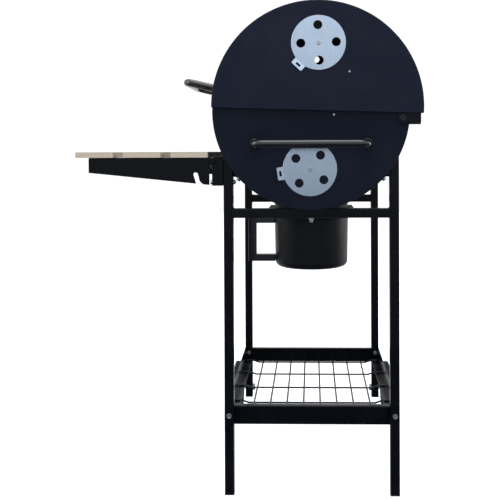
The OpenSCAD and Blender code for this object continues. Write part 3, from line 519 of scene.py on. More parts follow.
# rolled or plated metal: streaks along one direction, clouding and pinprick marks
def metalGroup():
    tree, given, made = newGroup(
        "workedMetal",
        [("Colour", "Color", (0.6, 0.6, 0.6, 1)), ("Dull", "Color", (0.4, 0.4, 0.4, 1)),
         ("Stretch", "Vector", (1.0, 1.0, 0.06)), ("Streak Scale", "Float", 900.0),
         ("Relief", "Float", 0.2), ("Rough", "Float", 0.35), ("Spread", "Float", 0.2)],
        [("Colour", "Color"), ("Rough", "Float"), ("Normal", "Vector")])
    place = addNode(tree, "ShaderNodeTexCoord").outputs["Object"]
    drawn = vectorReckon(tree, "MULTIPLY", place, given.outputs["Stretch"])
    streaks = noise(tree, drawn, Scale=given.outputs["Streak Scale"], Detail=3.0, Roughness=0.6)["Fac"]
    clouds = noise(tree, place, Scale=45.0, Detail=5.0, Roughness=0.6, Distortion=0.8)["Fac"]
    both = reckon(tree, "MULTIPLY_ADD", streaks, 0.5, reckon(tree, "MULTIPLY", clouds, 0.5))
    patches = ranged(tree, both, From_Min=0.38, From_Max=0.68)
    put(tree, made, Colour=mixed(tree, patches, given.outputs["Colour"], given.outputs["Dull"]),
        Rough=roughened(tree, both, given), Normal=bumped(tree, streaks, given.outputs["Relief"], 0.00008))
    return tree


# sawn softwood: rings round a pith line along X, fibres, saw marks and greying, and a painted shade darkening all past
# a given Y
def woodGroup():
    tree, given, made = newGroup(
        "sawnSoftwood",
        [("Early", "Color", (0.6, 0.48, 0.32, 1)), ("Late", "Color", (0.38, 0.25, 0.13, 1)),
         ("Grey", "Color", (0.42, 0.40, 0.37, 1)), ("Pith", "Vector", (0.0, 0.0, 0.0)),
         ("Rings", "Float", 60.0), ("Weather", "Float", 0.4), ("Scorched From", "Float", 1.0)],
        [("Colour", "Color"), ("Rough", "Float"), ("Normal", "Vector")])
    place = addNode(tree, "ShaderNodeTexCoord").outputs["Object"]
    fromPith = vectorReckon(tree, "SUBTRACT", place, given.outputs["Pith"])
    lengthways = vectorReckon(tree, "MULTIPLY", fromPith, (0.12, 1.0, 1.0))
    sway = noise(tree, lengthways, Scale=14.0, Detail=3.0)["Color"]
    swayed = vectorReckon(tree, "MULTIPLY_ADD", sway, (0.0, 0.012, 0.012), fromPith)
    across = vectorReckon(tree, "MULTIPLY", swayed, (0.0, 1.0, 1.0))
    radius = addNode(tree, "ShaderNodeVectorMath", across, operation="LENGTH").outputs["Value"]
    saw = reckon(tree, "FRACT", reckon(tree, "MULTIPLY", radius, given.outputs["Rings"]))
    ringShape = addNode(tree, "ShaderNodeValToRGB", Fac=saw)
    ramp = ringShape.color_ramp
    ramp.elements[0].position, ramp.elements[0].color = 0.0, (0.0, 0.0, 0.0, 1)
    ramp.elements[1].position, ramp.elements[1].color = 0.86, (1.0, 1.0, 1.0, 1)
    ramp.elements.new(0.55).color = (0.22, 0.22, 0.22, 1)
    ramp.elements.new(1.0).color = (0.0, 0.0, 0.0, 1)
    ring = ringShape.outputs["Color"]
    fibres = noise(tree, vectorReckon(tree, "MULTIPLY", place, (0.025, 1.0, 1.0)),
                   Scale=1500.0, Detail=3.0, Roughness=0.7)["Fac"]
    lines = ranged(tree, fibres, From_Min=0.3, From_Max=0.75, To_Min=0.78, To_Max=1.12)
    lined = vectorReckon(tree, "MULTIPLY", mixed(tree, ring, given.outputs["Early"], given.outputs["Late"]), lines)
    weathered = noise(tree, lengthways, Scale=22.0, Detail=6.0, Roughness=0.65)["Fac"]
    greyed = reckon(tree, "MULTIPLY", ranged(tree, weathered, From_Min=0.35, From_Max=0.75), given.outputs["Weather"])
    tone = mixed(tree, greyed, lined, given.outputs["Grey"])
    # painted shade: past the given Y the wood is darkened almost to black (0.045, 0.043, 0.032), standing in for the
    # barrel's shadow on the rear slat's rear side
    sides = addNode(tree, "ShaderNodeSeparateXYZ", place)
    beyond = reckon(tree, "SUBTRACT", sides.outputs["Y"], given.outputs["Scorched From"])
    paintedShade = ranged(tree, beyond, From_Min=0.0, From_Max=0.0015, To_Max=0.88)
    put(tree, made, Colour=mixed(tree, paintedShade, tone, (0.045, 0.043, 0.032, 1)),
        Rough=ranged(tree, fibres, To_Min=0.62, To_Max=0.9),
        Normal=bumped(tree, reckon(tree, "MULTIPLY_ADD", ring, 0.5, fibres), 0.5, 0.0002))
    return tree


paintTree, metalTree, woodTree = paintGroup(), metalGroup(), woodGroup()


def finish(name, tree, values, **shaderValues):
    material = bpy.data.materials.new(name)
    material.use_nodes = True
    shader = material.node_tree.nodes["Principled BSDF"]
    effect = addNode(material.node_tree, "ShaderNodeGroup", node_tree=tree)
    for key, value in values.items():
        effect.inputs[key].default_value = value
    for made, wanted in (("Colour", "Base Color"), ("Rough", "Roughness"), ("Normal", "Normal")):
        material.node_tree.links.new(effect.outputs[made], shader.inputs[wanted])
    for key, value in shaderValues.items():
        shader.inputs[key.replace("_", " ")].default_value = value
    return material


def paint(name, colour, worn, rough, peel=0.3, peelScale=700, spread=0.12, dust=0.1, **shaderValues):
    values = {"Colour": (*colour, 1), "Worn": (*worn, 1), "Rough": rough, "Peel": peel,
              "Peel Scale": peelScale, "Spread": spread, "Dust": dust}
    return finish(name, paintTree, values, **shaderValues)


def metal(name, colour, dull, rough, stretch=(1, 1, 1), streakScale=900, relief=0.2, spread=0.2, **shaderValues):
    values = {"Colour": (*colour, 1), "Dull": (*dull, 1), "Rough": rough, "Stretch": stretch,
              "Streak Scale": streakScale, "Relief": relief, "Spread": spread}
    return finish(name, metalTree, values, Metallic=1.0, **shaderValues)


# past the given place along Y the wood takes a painted shade
def wood(name, early, late, grey, pith, rings, weather, scorchedFrom):
    values = {"Early": (*early, 1), "Late": (*late, 1), "Grey": (*grey, 1), "Pith": pith,
              "Rings": rings, "Weather": weather, "Scorched From": scorchedFrom}
    return finish(name, woodTree, values, Specular_IOR_Level=0.25)


lidPaint = paint("lidPaint", (0.0064, 0.0080, 0.0175), (0.009, 0.0110, 0.021), 0.42,
                 peel=0.35, peelScale=520, dust=0.10, Specular_IOR_Level=0.11)
bowlPaint = paint("bowlPaint", (0.0042, 0.0058, 0.0125), (0.006, 0.0078, 0.015), 0.42,
                  peel=0.35, peelScale=520, dust=0.06, Specular_IOR_Level=0.09)
framePaint = paint("framePaint", (0.0016, 0.0018, 0.0030), (0.003, 0.0033, 0.005), 0.24,
                   peel=0.28, peelScale=800, dust=0.06, Specular_IOR_Level=0.18)
wirePaint = paint("wirePaint", (0.006, 0.006, 0.008), (0.010, 0.010, 0.012), 0.32,
                  peel=0.2, peelScale=1100, dust=0.12, Specular_IOR_Level=0.45)
bucketPaint = paint("bucketPaint", (0.0022, 0.0022, 0.0030), (0.004, 0.004, 0.005), 0.36,
                    peel=0.3, peelScale=650, dust=0.05, Specular_IOR_Level=0.25)
handleEnamel = paint("handleEnamel", (0.004, 0.004, 0.0055), (0.006, 0.006, 0.008), 0.17,
                     peel=0.12, peelScale=450, spread=0.08, dust=0.06, Coat_Weight=0.4, Coat_Roughness=0.08)
hubPlastic = paint("hubPlastic", (0.010, 0.010, 0.011), (0.016, 0.016, 0.017), 0.42,
                   peel=0.35, peelScale=1400, dust=0.18)
capPlastic = paint("capPlastic", (0.008, 0.008, 0.009), (0.014, 0.014, 0.015), 0.5,
                   peel=0.3, peelScale=1600, dust=0.18)
tyreRubber = paint("tyreRubber", (0.012, 0.012, 0.0125), (0.022, 0.021, 0.020), 0.72,
                   peel=0.6, peelScale=1900, spread=0.2, dust=0.35, Specular_IOR_Level=0.3)
ventSteel = metal("ventSteel", (0.66, 0.74, 0.84), (0.57, 0.65, 0.76), 0.26,
                  stretch=(1, 1, 0.05), streakScale=700, relief=0.18, spread=0.22)
darkBolt = metal("darkBolt", (0.045, 0.05, 0.065), (0.02, 0.022, 0.03), 0.3, streakScale=1500, spread=0.3)
zincPlate = metal("zincPlate", (0.62, 0.64, 0.66), (0.44, 0.45, 0.47), 0.34, streakScale=1500, spread=0.3)
chromeWire = metal("chromeWire", (0.66, 0.66, 0.67), (0.56, 0.56, 0.57), 0.18, streakScale=1200, relief=0.08)
grateSteel = metal("grateSteel", (0.36, 0.355, 0.35), (0.22, 0.215, 0.21), 0.42, streakScale=800, spread=0.3)
coalSteel = metal("coalSteel", (0.20, 0.195, 0.19), (0.12, 0.115, 0.11), 0.5, streakScale=600, spread=0.3)
print("finishes mixed")


# how far above the barrel's middle the lid's or the bowl's edge lies
def seamHeight(keepAbove):
    return barrel["seamGap"] / 2 if keepAbove else barrel["bowlRise"]


def trimAtSeam(piece, keepAbove):
    work(piece)
    openAll()
    bpy.ops.mesh.bisect(plane_co=bowlCentre + seamUp * seamHeight(keepAbove), plane_no=seamUp,
                        clear_inner=keepAbove, clear_outer=not keepAbove)
    close()


ventHoles = {"radius": 9.3 * mm, "circle": 36.5 * mm, "bolt": 3.3 * mm, "drill": 8 * mm}


# four air holes and the bolt's hole, through a right-hand end plate
def drillVent(piece, centre, x, angle):
    v = ventHoles
    before, beyond = x - v["drill"], x + v["drill"]
    drills = [rod("drill", (before, centre.y, centre.z), (beyond, centre.y, centre.z), v["bolt"])]
    for quarter in range(4):
        turn = angle + quarter * math.pi / 2
        y, z = centre.y + v["circle"] * math.cos(turn), centre.z + v["circle"] * math.sin(turn)
        drills.append(rod("drill", (before, y, z), (beyond, y, z), v["radius"], 48))
    combine(piece, joined("drills", drills), "DIFFERENCE")


# a disc pressed over the end of its shell, with a rounded rim and a turned flange
def endPlate(name, radius, centre, x, flange, keepAbove):
    deselectAll()
    bpy.ops.mesh.primitive_circle_add(vertices=barrel["facets"], radius=radius, fill_type="NGON",
                                      location=(x - flange, centre.y, centre.z), rotation=(0, math.pi / 2, 0))
    piece = takeNew(name)
    openAll()
    extrudeBy((flange, 0, 0))
    outward()
    pick("FACE", lambda place, normal: normal.x < -0.9)
    bpy.ops.mesh.delete(type="ONLY_FACE")
    pick("EDGE", lambda place, way: place.x > x - hair)
    bpy.ops.mesh.bevel(offset=barrel["rimRadius"], segments=5, profile=0.5)
    pick("FACE", lambda place, normal: normal.x > 0.99)
    bpy.ops.mesh.inset(thickness=barrel["rimRing"])
    trimAtSeam(piece, keepAbove)
    modify(piece, "SOLIDIFY", thickness=barrel["plate"], offset=-1)
    soften(piece, barrel["plateEdge"], 2, 60)
    return piece


def rolledShell(name, radius, centre, half, keepAbove):
    deselectAll()
    bpy.ops.mesh.primitive_circle_add(vertices=barrel["facets"], radius=radius, fill_type="NOTHING",
                                      location=(centre.x - half, centre.y, centre.z), rotation=(0, math.pi / 2, 0))
    piece = takeNew(name)
    bpy.ops.object.mode_set(mode="EDIT")
    bpy.ops.mesh.select_mode(type="EDGE")
    bpy.ops.mesh.select_all(action="SELECT")
    extrudeBy((2 * half, 0, 0))
    outward()
    trimAtSeam(piece, keepAbove)
    return piece


# turns the long edges of a trimmed shell inwards, so that they are stiff and blunt to the touch
def hemEdges(centre, height, width):
    for sign in (-1, 1):
        pick("EDGE", lambda place, way: abs(way.x) > 0.99 and (place.y - centre.y) * sign < 0
             and abs((place - bowlCentre).dot(seamUp) - height) < 0.2 * mm)
        extrudeBy((0, sign * width, 0))
    close()


def makeBarrelHalf(which, radius, centre, x, keepAbove, material, body, holeAngle):
    shellNode, plateNode = which + "_shell", which + "_plate_right"
    plate = endPlate(which + "PlateRight", radius, centre, x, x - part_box(plateNode)[0].x, keepAbove)
    drillVent(plate, middle(which + "_vent_bolts"), x, holeAngle)
    settlePair(plate, toLeft, material, body, "end_plate_black", plateNode)
    half = (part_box(shellNode)[1].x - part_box(shellNode)[0].x) / 2
    shell = rolledShell(which + "Shell", radius - barrel["plate"], centre, half, keepAbove)
    hemEdges(centre, seamHeight(keepAbove), barrel["hem"])
    modify(shell, "SOLIDIFY", thickness=barrel["sheet"], offset=-1)
    soften(shell, barrel["shellEdge"], 2, 50)
    return shell


vents = {
    "lidAngle": math.radians(2), "lidTab": math.radians(227),
    "bowlAngle": math.radians(52.6), "bowlTab": math.radians(188.7),
    "turn": math.radians(45),        # how far the bowl's discs stand turned from the holes behind them
}
lidShell = makeBarrelHalf("lid", lidRadius, lidCentre, lidHigh.x, True, lidPaint, "lid", vents["lidAngle"])
settle(lidShell, lidPaint, "lid", "barrel_black", "lid_shell")
bowlShell = makeBarrelHalf("bowl", bowlRadius, bowlCentre, bowlHigh.x, False, bowlPaint, "cart",
                           vents["bowlAngle"] - vents["turn"])
# the opening over the ash neck
neckFoot = Vector((grillX, legLine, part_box("ash_neck")[0].z))
cutter = rod("cutter", neckFoot, (grillX, legLine, bowlCentre.z - bowlRadius / 2), barrel["neckHole"], 96)
combine(bowlShell, cutter, "DIFFERENCE")
settle(bowlShell, bowlPaint, "cart", "barrel_black", "bowl_shell")
print("barrel made")


ventDisc = {
    "radius": 56.5 * mm, "sheet": 1.2 * mm, "edge": 0.35 * mm,
    "tabWidth": 27 * mm, "tabLength": 13 * mm, "tabBend": math.radians(9), "bendRadius": 3 * mm,
    "tabCorner": 2.5 * mm, "slotLength": 12 * mm, "slotWidth": 5 * mm, "slotAt": 6.5 * mm,
    "tabRoot": 6 * mm,               # how far the tab reaches in under the disc's rim
    "tabSink": 0.03 * mm, "cut": 4 * mm, "holeEdge": 0.22 * mm,
}
# from a piece laid flat, its face up and its first hole to the right, to the right-hand end
standUp = Matrix(((0, 0, 1, 0), (1, 0, 0, 0), (0, 1, 0, 0), (0, 0, 0, 1)))


# the pull tab: a short root in the disc's plane, a bend, and the rounded end with its slot
def ventTab():
    d = ventDisc
    root = math.sqrt(d["radius"] ** 2 - (d["tabWidth"] / 2) ** 2)
    deselectAll()
    bpy.ops.mesh.primitive_plane_add(size=1, location=(root - d["tabRoot"] / 2, 0, d["sheet"] - d["tabSink"]))
    bpy.ops.transform.resize(value=(d["tabRoot"], d["tabWidth"], 1))
    tab = takeNew("tab")
    pick("EDGE", lambda place, way: place.x > root - hair)
    bpy.ops.mesh.spin(steps=5, angle=d["tabBend"], center=(root, 0, d["sheet"] + d["bendRadius"]), axis=(0, 1, 0))
    tip = Vector((math.cos(d["tabBend"]), 0, math.sin(d["tabBend"])))
    extrudeBy(tip * d["tabLength"])
    close()
    bend = Vector((root + d["bendRadius"] * math.sin(d["tabBend"]), 0,
                   d["sheet"] + d["bendRadius"] * (1 - math.cos(d["tabBend"]))))
    far = (bend + tip * d["tabLength"] * 0.95).dot(tip)
    pick("VERT", lambda place: place.dot(tip) > far and place.x > root)
    bpy.ops.mesh.bevel(offset=d["tabCorner"], segments=5, affect="VERTICES")
    openAll()
    bpy.ops.mesh.normals_make_consistent(inside=False)
    close()
    if sum(face.normal.z for face in tab.data.polygons) < 0:
        tab.data.flip_normals()
    modify(tab, "SOLIDIFY", thickness=d["sheet"], offset=-1)
    through = Vector((-math.sin(d["tabBend"]), 0, math.cos(d["tabBend"])))
    slotMiddle = bend + tip * d["slotAt"]
    reach = (d["slotLength"] - d["slotWidth"]) / 2
    pieces = [rod("slot", slotMiddle - through * d["cut"] + yAxis * side * reach,
                  slotMiddle + through * d["cut"] + yAxis * side * reach, d["slotWidth"] / 2) for side in (-1, 1)]
    bar = block("slot", (-d["slotWidth"] / 2, -reach, -d["cut"]), (d["slotWidth"] / 2, reach, d["cut"]))
    moved(bar, Matrix.Translation(slotMiddle) @ Matrix.Rotation(-d["tabBend"], 4, "Y"))
    for piece in pieces + [bar]:
        combine(tab, piece, "DIFFERENCE")
    return tab


def makeVent(which, holeAngle, tabAngle):
    d = ventDisc
    name, node = which + "VentRight", which + "_vent_right"
    disc = turned(name, (0, 0, 0), zAxis,
                  [(d["radius"] - d["edge"], 0), (d["radius"], d["edge"]), (d["radius"], d["sheet"] - d["edge"]),
                   (d["radius"] - d["edge"], d["sheet"])], facets=128)
    tab = moved(ventTab(), Matrix.Rotation(tabAngle - holeAngle, 4, "Z"))
    combine(disc, tab, "UNION")
    below, above = -2 * mm, 4 * mm
    drills = [rod("drill", (0, 0, below), (0, 0, above), ventHoles["bolt"])]
    for quarter in range(4):
        turn = quarter * math.pi / 2
        y, z = ventHoles["circle"] * math.cos(turn), ventHoles["circle"] * math.sin(turn)
        drills.append(rod("drill", (y, z, below), (y, z, above), ventHoles["radius"], 64))
    combine(disc, joined("drills", drills), "DIFFERENCE")
    soften(disc, d["holeEdge"], 2, 50)
    at = middle(which + "_vent_bolts")
    at.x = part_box(node)[0].x
    moved(disc, Matrix.Translation(at) @ standUp @ Matrix.Rotation(holeAngle, 4, "Z"))
    settlePair(disc, toLeft, ventSteel, node, "vent_steel", node)


makeVent("lid", vents["lidAngle"], vents["lidTab"])
makeVent("bowl", vents["bowlAngle"], vents["bowlTab"])
print("vents made")


m6 = {"head": 5.77 * mm, "height": 4 * mm, "shank": 3 * mm, "nut": 5 * mm, "chamfer": 0.7 * mm}
boltKinds = {   # corner radius, head height, shank radius and length, then the nut's place and the washer's radius
    "pivot": {"corner": 5 * mm, "height": 3 * mm, "shank": 3 * mm, "intoLeg": 7 * mm},
    "hinge": {"corner": 6.6 * mm, "height": 4.5 * mm, "shank": 4 * mm, "length": 21 * mm, "nutAt": 8.5 * mm,
              "washerRadius": 7.6 * mm},
    "vent": {"corner": m6["head"] * 0.86, "height": 3 * mm, "shank": m6["shank"], "length": 12 * mm,
             "nutAt": 5.3 * mm},
}


# a hexagon of a bolt or nut, its corners turned off at the top, standing on the origin
def hexagon(name, corner, height, recess=False):
    c = m6["chamfer"]
    prism = turned(name, (0, 0, 0), zAxis, [(corner, 0), (corner, height)], facets=6)
    flat = corner * math.cos(math.pi / 6)
    if recess:
        lathe = turned("lathe", (0, 0, 0), zAxis, [
            (corner + c, -c), (corner + c, height - c), (flat - 0.2 * mm, height), (flat * 0.62, height),
            (flat * 0.55, height - 0.35 * mm)], facets=48)
    else:
        lathe = turned("lathe", (0, 0, 0), zAxis,
                       [(corner + c, -c), (corner + c, height - c), (flat - 0.2 * mm, height)], facets=48)
    combine(prism, lathe, "INTERSECT")
    return prism


def washer(name, outer, inner, low, high):
    e = 0.2 * mm
    return turned(name, (0, 0, 0), zAxis, [(inner, low), (outer - e, low), (outer, low + e), (outer, high - e),
                                           (outer - e, high), (inner, high)], facets=40, hoop=True)


# a threaded shank: one turned groove for each turn of thread
def thread(name, radius, top, bottom, pitch=1.0 * mm):
    rings = [(radius * 0.8, bottom)]
    z = bottom + 0.3 * mm
    while z < top - pitch:
        rings += [(radius, z), (radius * 0.88, z + pitch * 0.5)]
        z += pitch
    rings.append((radius, top))
    return turned(name, (0, 0, 0), zAxis, rings, facets=20)


# the head stands on the origin along +Z; with a nut, the thread shows past it
def hexBolt(name, corner, height, shank, length, nutAt=None, washerRadius=None):
    pieces = [hexagon(name, corner, height, recess=True)]
    if nutAt is None:
        pieces.append(rod("shank", (0, 0, -length), (0, 0, 0.1 * mm), shank, 20))
    else:
        nut = moved(hexagon("nut", corner, m6["nut"]),
                    Matrix.Translation((0, 0, -nutAt)) @ Matrix.Rotation(math.pi, 4, "X"))
        pieces += [nut, thread("thread", shank, 0.1 * mm, -length)]
    if washerRadius:
        pieces.append(washer("washer", washerRadius, shank, -1.0 * mm, 0))
    return joined(name, pieces)


def boltPlace(place, way, turn=0.0):
    return (Matrix.Translation(place) @ way.to_track_quat("Z", "Y").to_matrix().to_4x4()
            @ Matrix.Rotation(turn, 4, "Z"))


def setBolts(name, pattern, places, body, node, material=zincPlate, slot="zinc"):
    bolts = [copied(pattern, name + str(index), place) for index, place in enumerate(places)]
    bpy.data.objects.remove(pattern)
    settle(joined(name, bolts), material, body, slot, node)


def legPlace(end, side):
    node = "leg_" + ("right" if end > 0 else "left") + ("_front" if side < 0 else "_rear")
    return middle(node)


tubeHalf = (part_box("leg_right_front")[1].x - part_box("leg_right_front")[0].x) / 2
trayMiddle = middle("tray_bolts").z
trayPlaces = []
for end in (1, -1):
    for side in (-1, 1):
        leg = legPlace(end, side)
        trayPlaces.append(boltPlace((leg.x + end * tubeHalf, leg.y, trayMiddle), xAxis * end,
                                    0.3 * side + 0.2 * end))
trayBolt = hexBolt("pattern", m6["head"], m6["height"], m6["shank"], 2 * tubeHalf + 9.5 * mm,
                   nutAt=2 * tubeHalf + 1.5 * mm)
setBolts("trayBolts", trayBolt, trayPlaces, "cart", "tray_bolts")


# a node's two bolts, one at each end of the grill, their heads outwards
def setEndBolts(name, node, kind, rightTurn, leftTurn, body, material=zincPlate, slot="zinc"):
    at, seat = middle(node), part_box(node)[1].x - kind["height"]
    setBolts(name, hexBolt("pattern", **kind), [
        boltPlace((seat, at.y, at.z), xAxis, rightTurn),
        boltPlace((2 * grillX - seat, at.y, at.z), -xAxis, leftTurn)], body, node, material, slot)


pivotBolt = dict(boltKinds["pivot"])
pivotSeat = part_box("shelf_pivot_bolts")[1].x - pivotBolt["height"]
pivotBolt["length"] = pivotSeat - (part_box("leg_right_front")[1].x - pivotBolt.pop("intoLeg"))
setEndBolts("shelfPivotBolts", "shelf_pivot_bolts", pivotBolt, 0.4, 0.1, "cart", framePaint, "frame_black")
setEndBolts("hingeBolts", "hinge_bolts", boltKinds["hinge"], 0.25, 0.6, "cart", darkBolt)
setEndBolts("lidVentBolts", "lid_vent_bolts", boltKinds["vent"], 0.35, 0.9, "lid")
setEndBolts("bowlVentBolts", "bowl_vent_bolts", boltKinds["vent"], 0.35, 0.9, "cart")
for node, body in (("bowl_bolts", "cart"), ("bracket_bolts", "cart"), ("lid_handle_nuts", "lid"),
                   ("side_handle_nuts", "cart")):
    words = node.split("_")
    name = words[0] + "".join(word.capitalize() for word in words[1:])
    settle(roundedCopy(node, name, 0.3 * mm), zincPlate, body, "zinc", node)
print("bolts made")


handle = {
    "radius": 9 * mm, "bend": 26 * mm, "collar": 11.5 * mm, "collarHeight": 3.5 * mm,
    "lidTilt": math.radians(13), "lidReach": 95 * mm,
}


# arms out of a face, joined by a grip; each arm stands in a pressed collar
def bentHandle(name, foot, out, along, span, reach):
    h = handle
    axis = out.cross(along)
    start = foot - along * (span / 2)
    grip = bentBar(name, start, out, [
        ("go", reach - h["bend"]), ("turn", axis, h["bend"], math.pi / 2), ("go", span - 2 * h["bend"]),
        ("turn", axis, h["bend"], math.pi / 2), ("go", reach - h["bend"])], h["radius"], facets=40, steps=14)
    feet = [turned("foot", foot + along * side * (span / 2), out,
                   [(h["collar"], 0), (h["collar"], 1.2 * mm), (h["radius"] + 1.2 * mm, 1.8 * mm),
                    (h["radius"] + 0.4 * mm, h["collarHeight"])], facets=40) for side in (-1, 1)]
    return joined(name, [grip] + feet)


sideLow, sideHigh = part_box("side_handle")
sideHandle = bentHandle("sideHandle", Vector((bowlHigh.x, legLine, middle("side_handle").z)), xAxis, yAxis,
                        sideHigh.y - sideLow.y - 2 * handle["radius"], sideHigh.x - bowlHigh.x - handle["radius"])
settle(sideHandle, handleEnamel, "cart", "handle_gloss", "side_handle")
lidHandleOut = Vector((0, -math.cos(handle["lidTilt"]), math.sin(handle["lidTilt"])))
handleLow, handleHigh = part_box("lid_handle")
lidFoot = lidCentre + lidHandleOut * (lidRadius - barrel["plate"] - 0.15 * mm)
lidHandle = bentHandle("lidHandle", lidFoot, lidHandleOut, xAxis,
                       handleHigh.x - handleLow.x - 2 * handle["radius"], handle["lidReach"])
settle(lidHandle, handleEnamel, "lid", "handle_gloss", "lid_handle")
print("handles made")


tube = {"corner": 2.2 * mm, "wall": 1.2 * mm, "saddleGap": 2 * mm, "overrun": 10 * mm}
weld = {"size": 1.7 * mm, "drops": 9, "uneven": 0.14, "inset": 0.4 * mm}


# a square tube between two corners, its long edges along the axis rounded and its ends open
def squareTube(name, low, high, axis):
    low, high = Vector(low), Vector(high)
    piece = block(name, low, high)
    pick("EDGE", lambda place, way: abs(way[axis]) > 0.99)
    bpy.ops.mesh.bevel(offset=tube["corner"], segments=4, profile=0.5)
    pick("FACE", lambda place, normal: abs(normal[axis]) > 0.99)
    bpy.ops.mesh.delete(type="ONLY_FACE")
    close()
    modify(piece, "SOLIDIFY", thickness=tube["wall"], offset=-1)
    return piece


def makeLegs():
    saddleRadius = bowlRadius - barrel["plate"] + tube["saddleGap"]
    for endName in ("right", "left"):
        for sideName in ("front", "rear"):
            node = "leg_" + endName + "_" + sideName
            low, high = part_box(node)
            name = "leg" + endName.capitalize() + sideName.capitalize()
            leg = squareTube(name, low, (high.x, high.y, high.z + tube["overrun"]), 2)
            cope = rod("cope", bowlCentre - xAxis * 0.4, bowlCentre + xAxis * 0.4, saddleRadius, barrel["facets"])
            combine(leg, cope, "DIFFERENCE")
            settle(leg, framePaint, "cart", "frame_black", node)


# a ripple of weld round a tube's end: overlapping droplets along a square of given half size
def weldRound(name, centre, axis, half):
    drops = []
    u, v = [a for a in (xAxis, yAxis, zAxis) if abs(a.dot(axis)) < 0.5]
    for sideIndex in range(4):
        for i in range(weld["drops"]):
            along = -half + 2 * half * i / weld["drops"]
            a, b = [(along, -half), (half, along), (-along, half), (-half, -along)][sideIndex]
            deselectAll()
            wobble = 1 + weld["uneven"] * math.sin(5.1 * i + 1.7 * sideIndex)
            bpy.ops.mesh.primitive_uv_sphere_add(segments=10, ring_count=6, radius=weld["size"] * wobble,
                                                 location=centre + u * a + v * b)
            drops.append(takeNew("drop"))
    return joined(name, drops)


def makeCrossbars():
    for endName in ("right", "left"):
        node = "crossbar_" + endName
        low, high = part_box(node)
        bar = squareTube("crossbar" + endName.capitalize(), low, high, 1)
        settle(bar, framePaint, "cart", "frame_black", node)
        mid = (low + high) / 2
        welds = [weldRound("weld", Vector((mid.x, y, mid.z)), yAxis, tubeHalf - weld["inset"])
                 for y in (low.y, high.y)]
        settle(joined("crossbarWeld" + endName.capitalize(), welds), framePaint, "cart", "frame_black")


makeLegs()
makeCrossbars()
settle(roundedCopy("bowl_saddles", "bowlSaddles", 0.5 * mm), framePaint, "cart", "frame_black", "bowl_saddles")
settle(roundedCopy("leg_caps", "legCaps", 0.9 * mm, 3), capPlastic, "cart", "black_plastic", "leg_caps")
print("legs and crossbars made")


tray = {"sheet": 1.5 * mm, "fold": 2.5 * mm, "trimmed": 14 * mm, "edge": 0.3 * mm}


# folds a sheet: a wall is laid down as a plane, its edge pulled over into a flange, and the fold rounded
def foldedSheet(name, low, high, wallNormal, foldAt, flange, trimmed=0.0):
    low, high = Vector(low), Vector(high)
    mid, size = (low + high) / 2, high - low
    deselectAll()
    bpy.ops.mesh.primitive_plane_add(size=1, location=mid, rotation=facing(wallNormal))
    piece = takeNew(name)
    for vertex in piece.data.vertices:
        offset = vertex.co - mid
        vertex.co = mid + Vector([math.copysign(size[i] / 2, offset[i]) if size[i] else 0 for i in range(3)])
    alongAxis = 0 if size.x > size.y else 1
    pick("EDGE", lambda place, way: abs(place.z - foldAt) < hair)
    extrudeBy(flange)
    if trimmed:
        scale = [1, 1, 1]
        scale[alongAxis] = 1 - 2 * trimmed / size[alongAxis]
        bpy.ops.transform.resize(value=scale, center_override=mid)
    pick("EDGE", lambda place, way: abs(place.z - foldAt) < hair and abs(way[alongAxis]) > 0.99
         and abs((place - mid).dot(wallNormal)) < hair)
    bpy.ops.mesh.bevel(offset=tray["fold"], segments=5, profile=0.5)
    close()
    turnOut(piece, wallNormal)
    modify(piece, "SOLIDIFY", thickness=tray["sheet"], offset=-1)
    soften(piece, tray["edge"], 2, 60)
    return piece


def makeTray():
    low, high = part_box("tray_panel_right")
    panel = foldedSheet("trayPanelRight", (high.x, low.y, low.z), high, xAxis, high.z, (low.x - high.x, 0, 0),
                        trimmed=tray["trimmed"])
    settlePair(panel, toLeft, framePaint, "cart", "frame_black", "tray_panel_right")
    low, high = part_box("tray_rail_rear")
    rail = foldedSheet("trayRailRear", (low.x, high.y, low.z), high, yAxis, low.z, (0, low.y - high.y, 0))
    settlePair(rail, toRear, framePaint, "cart", "frame_black", "tray_rail_rear", ("rear", "front"))


# makes the faces of an open sheet look the way its wall does
def turnOut(piece, way):
    work(piece)
    openAll()
    bpy.ops.mesh.normals_make_consistent(inside=False)
    close()
    wall = max(piece.data.polygons, key=lambda face: abs(face.normal.dot(way)) * face.area)
    if wall.normal.dot(way) < 0:
        piece.data.flip_normals()


makeTray()

shelfWire = {
    "radius": 2.1 * mm, "drop": 5.5 * mm, "long": 8, "cross": 5, "ramp": 16 * mm, "sink": 0.3 * mm,
    "ends": 34 * mm,                 # from the rails' outer edges to where the wires lie flat
}


# wires along X lie on cross wires whose ends are cranked up onto the rails
def makeWireShelf():
    w = shelfWire
    r = w["radius"]
    low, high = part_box("wire_shelf")
    plane = low.z + r
    rise, ramp = w["drop"], w["ramp"]
    inner = (high.y - low.y) / 2
    slope = math.atan2(rise, ramp)
    flatEnd = inner - w["ends"]
    wires = []
    for i in range(w["long"]):
        y = legLine + (i - (w["long"] - 1) / 2) * 2 * flatEnd / (w["long"] - 0.34)
        z = plane + 2 * r - w["sink"]
        wires.append(rod("wire", (low.x, y, z), (high.x, y, z), r, 16))
    reach = r * 2.2
    trim = reach * math.tan(slope / 2)
    rampLength = math.hypot(rise, ramp)
    outer = inner - flatEnd - ramp
    for i in range(w["cross"]):
        x = (low.x + high.x) / 2 + (i - (w["cross"] - 1) / 2) * (high.x - low.x - 16 * mm) / (w["cross"] - 1)
        wires.append(bentBar("wire", (x, legLine - inner, plane + rise), yAxis, [
            ("go", outer - trim), ("turn", -xAxis, reach, slope), ("go", rampLength - 2 * trim),
            ("turn", xAxis, reach, slope), ("go", 2 * flatEnd - 2 * trim),
            ("turn", xAxis, reach, slope), ("go", rampLength - 2 * trim),
            ("turn", -xAxis, reach, slope), ("go", outer - trim)], r, facets=16, steps=3))
    settle(joined("wireShelf", wires), wirePaint, "cart", "wire_black", "wire_shelf")


makeWireShelf()
print("tray made")


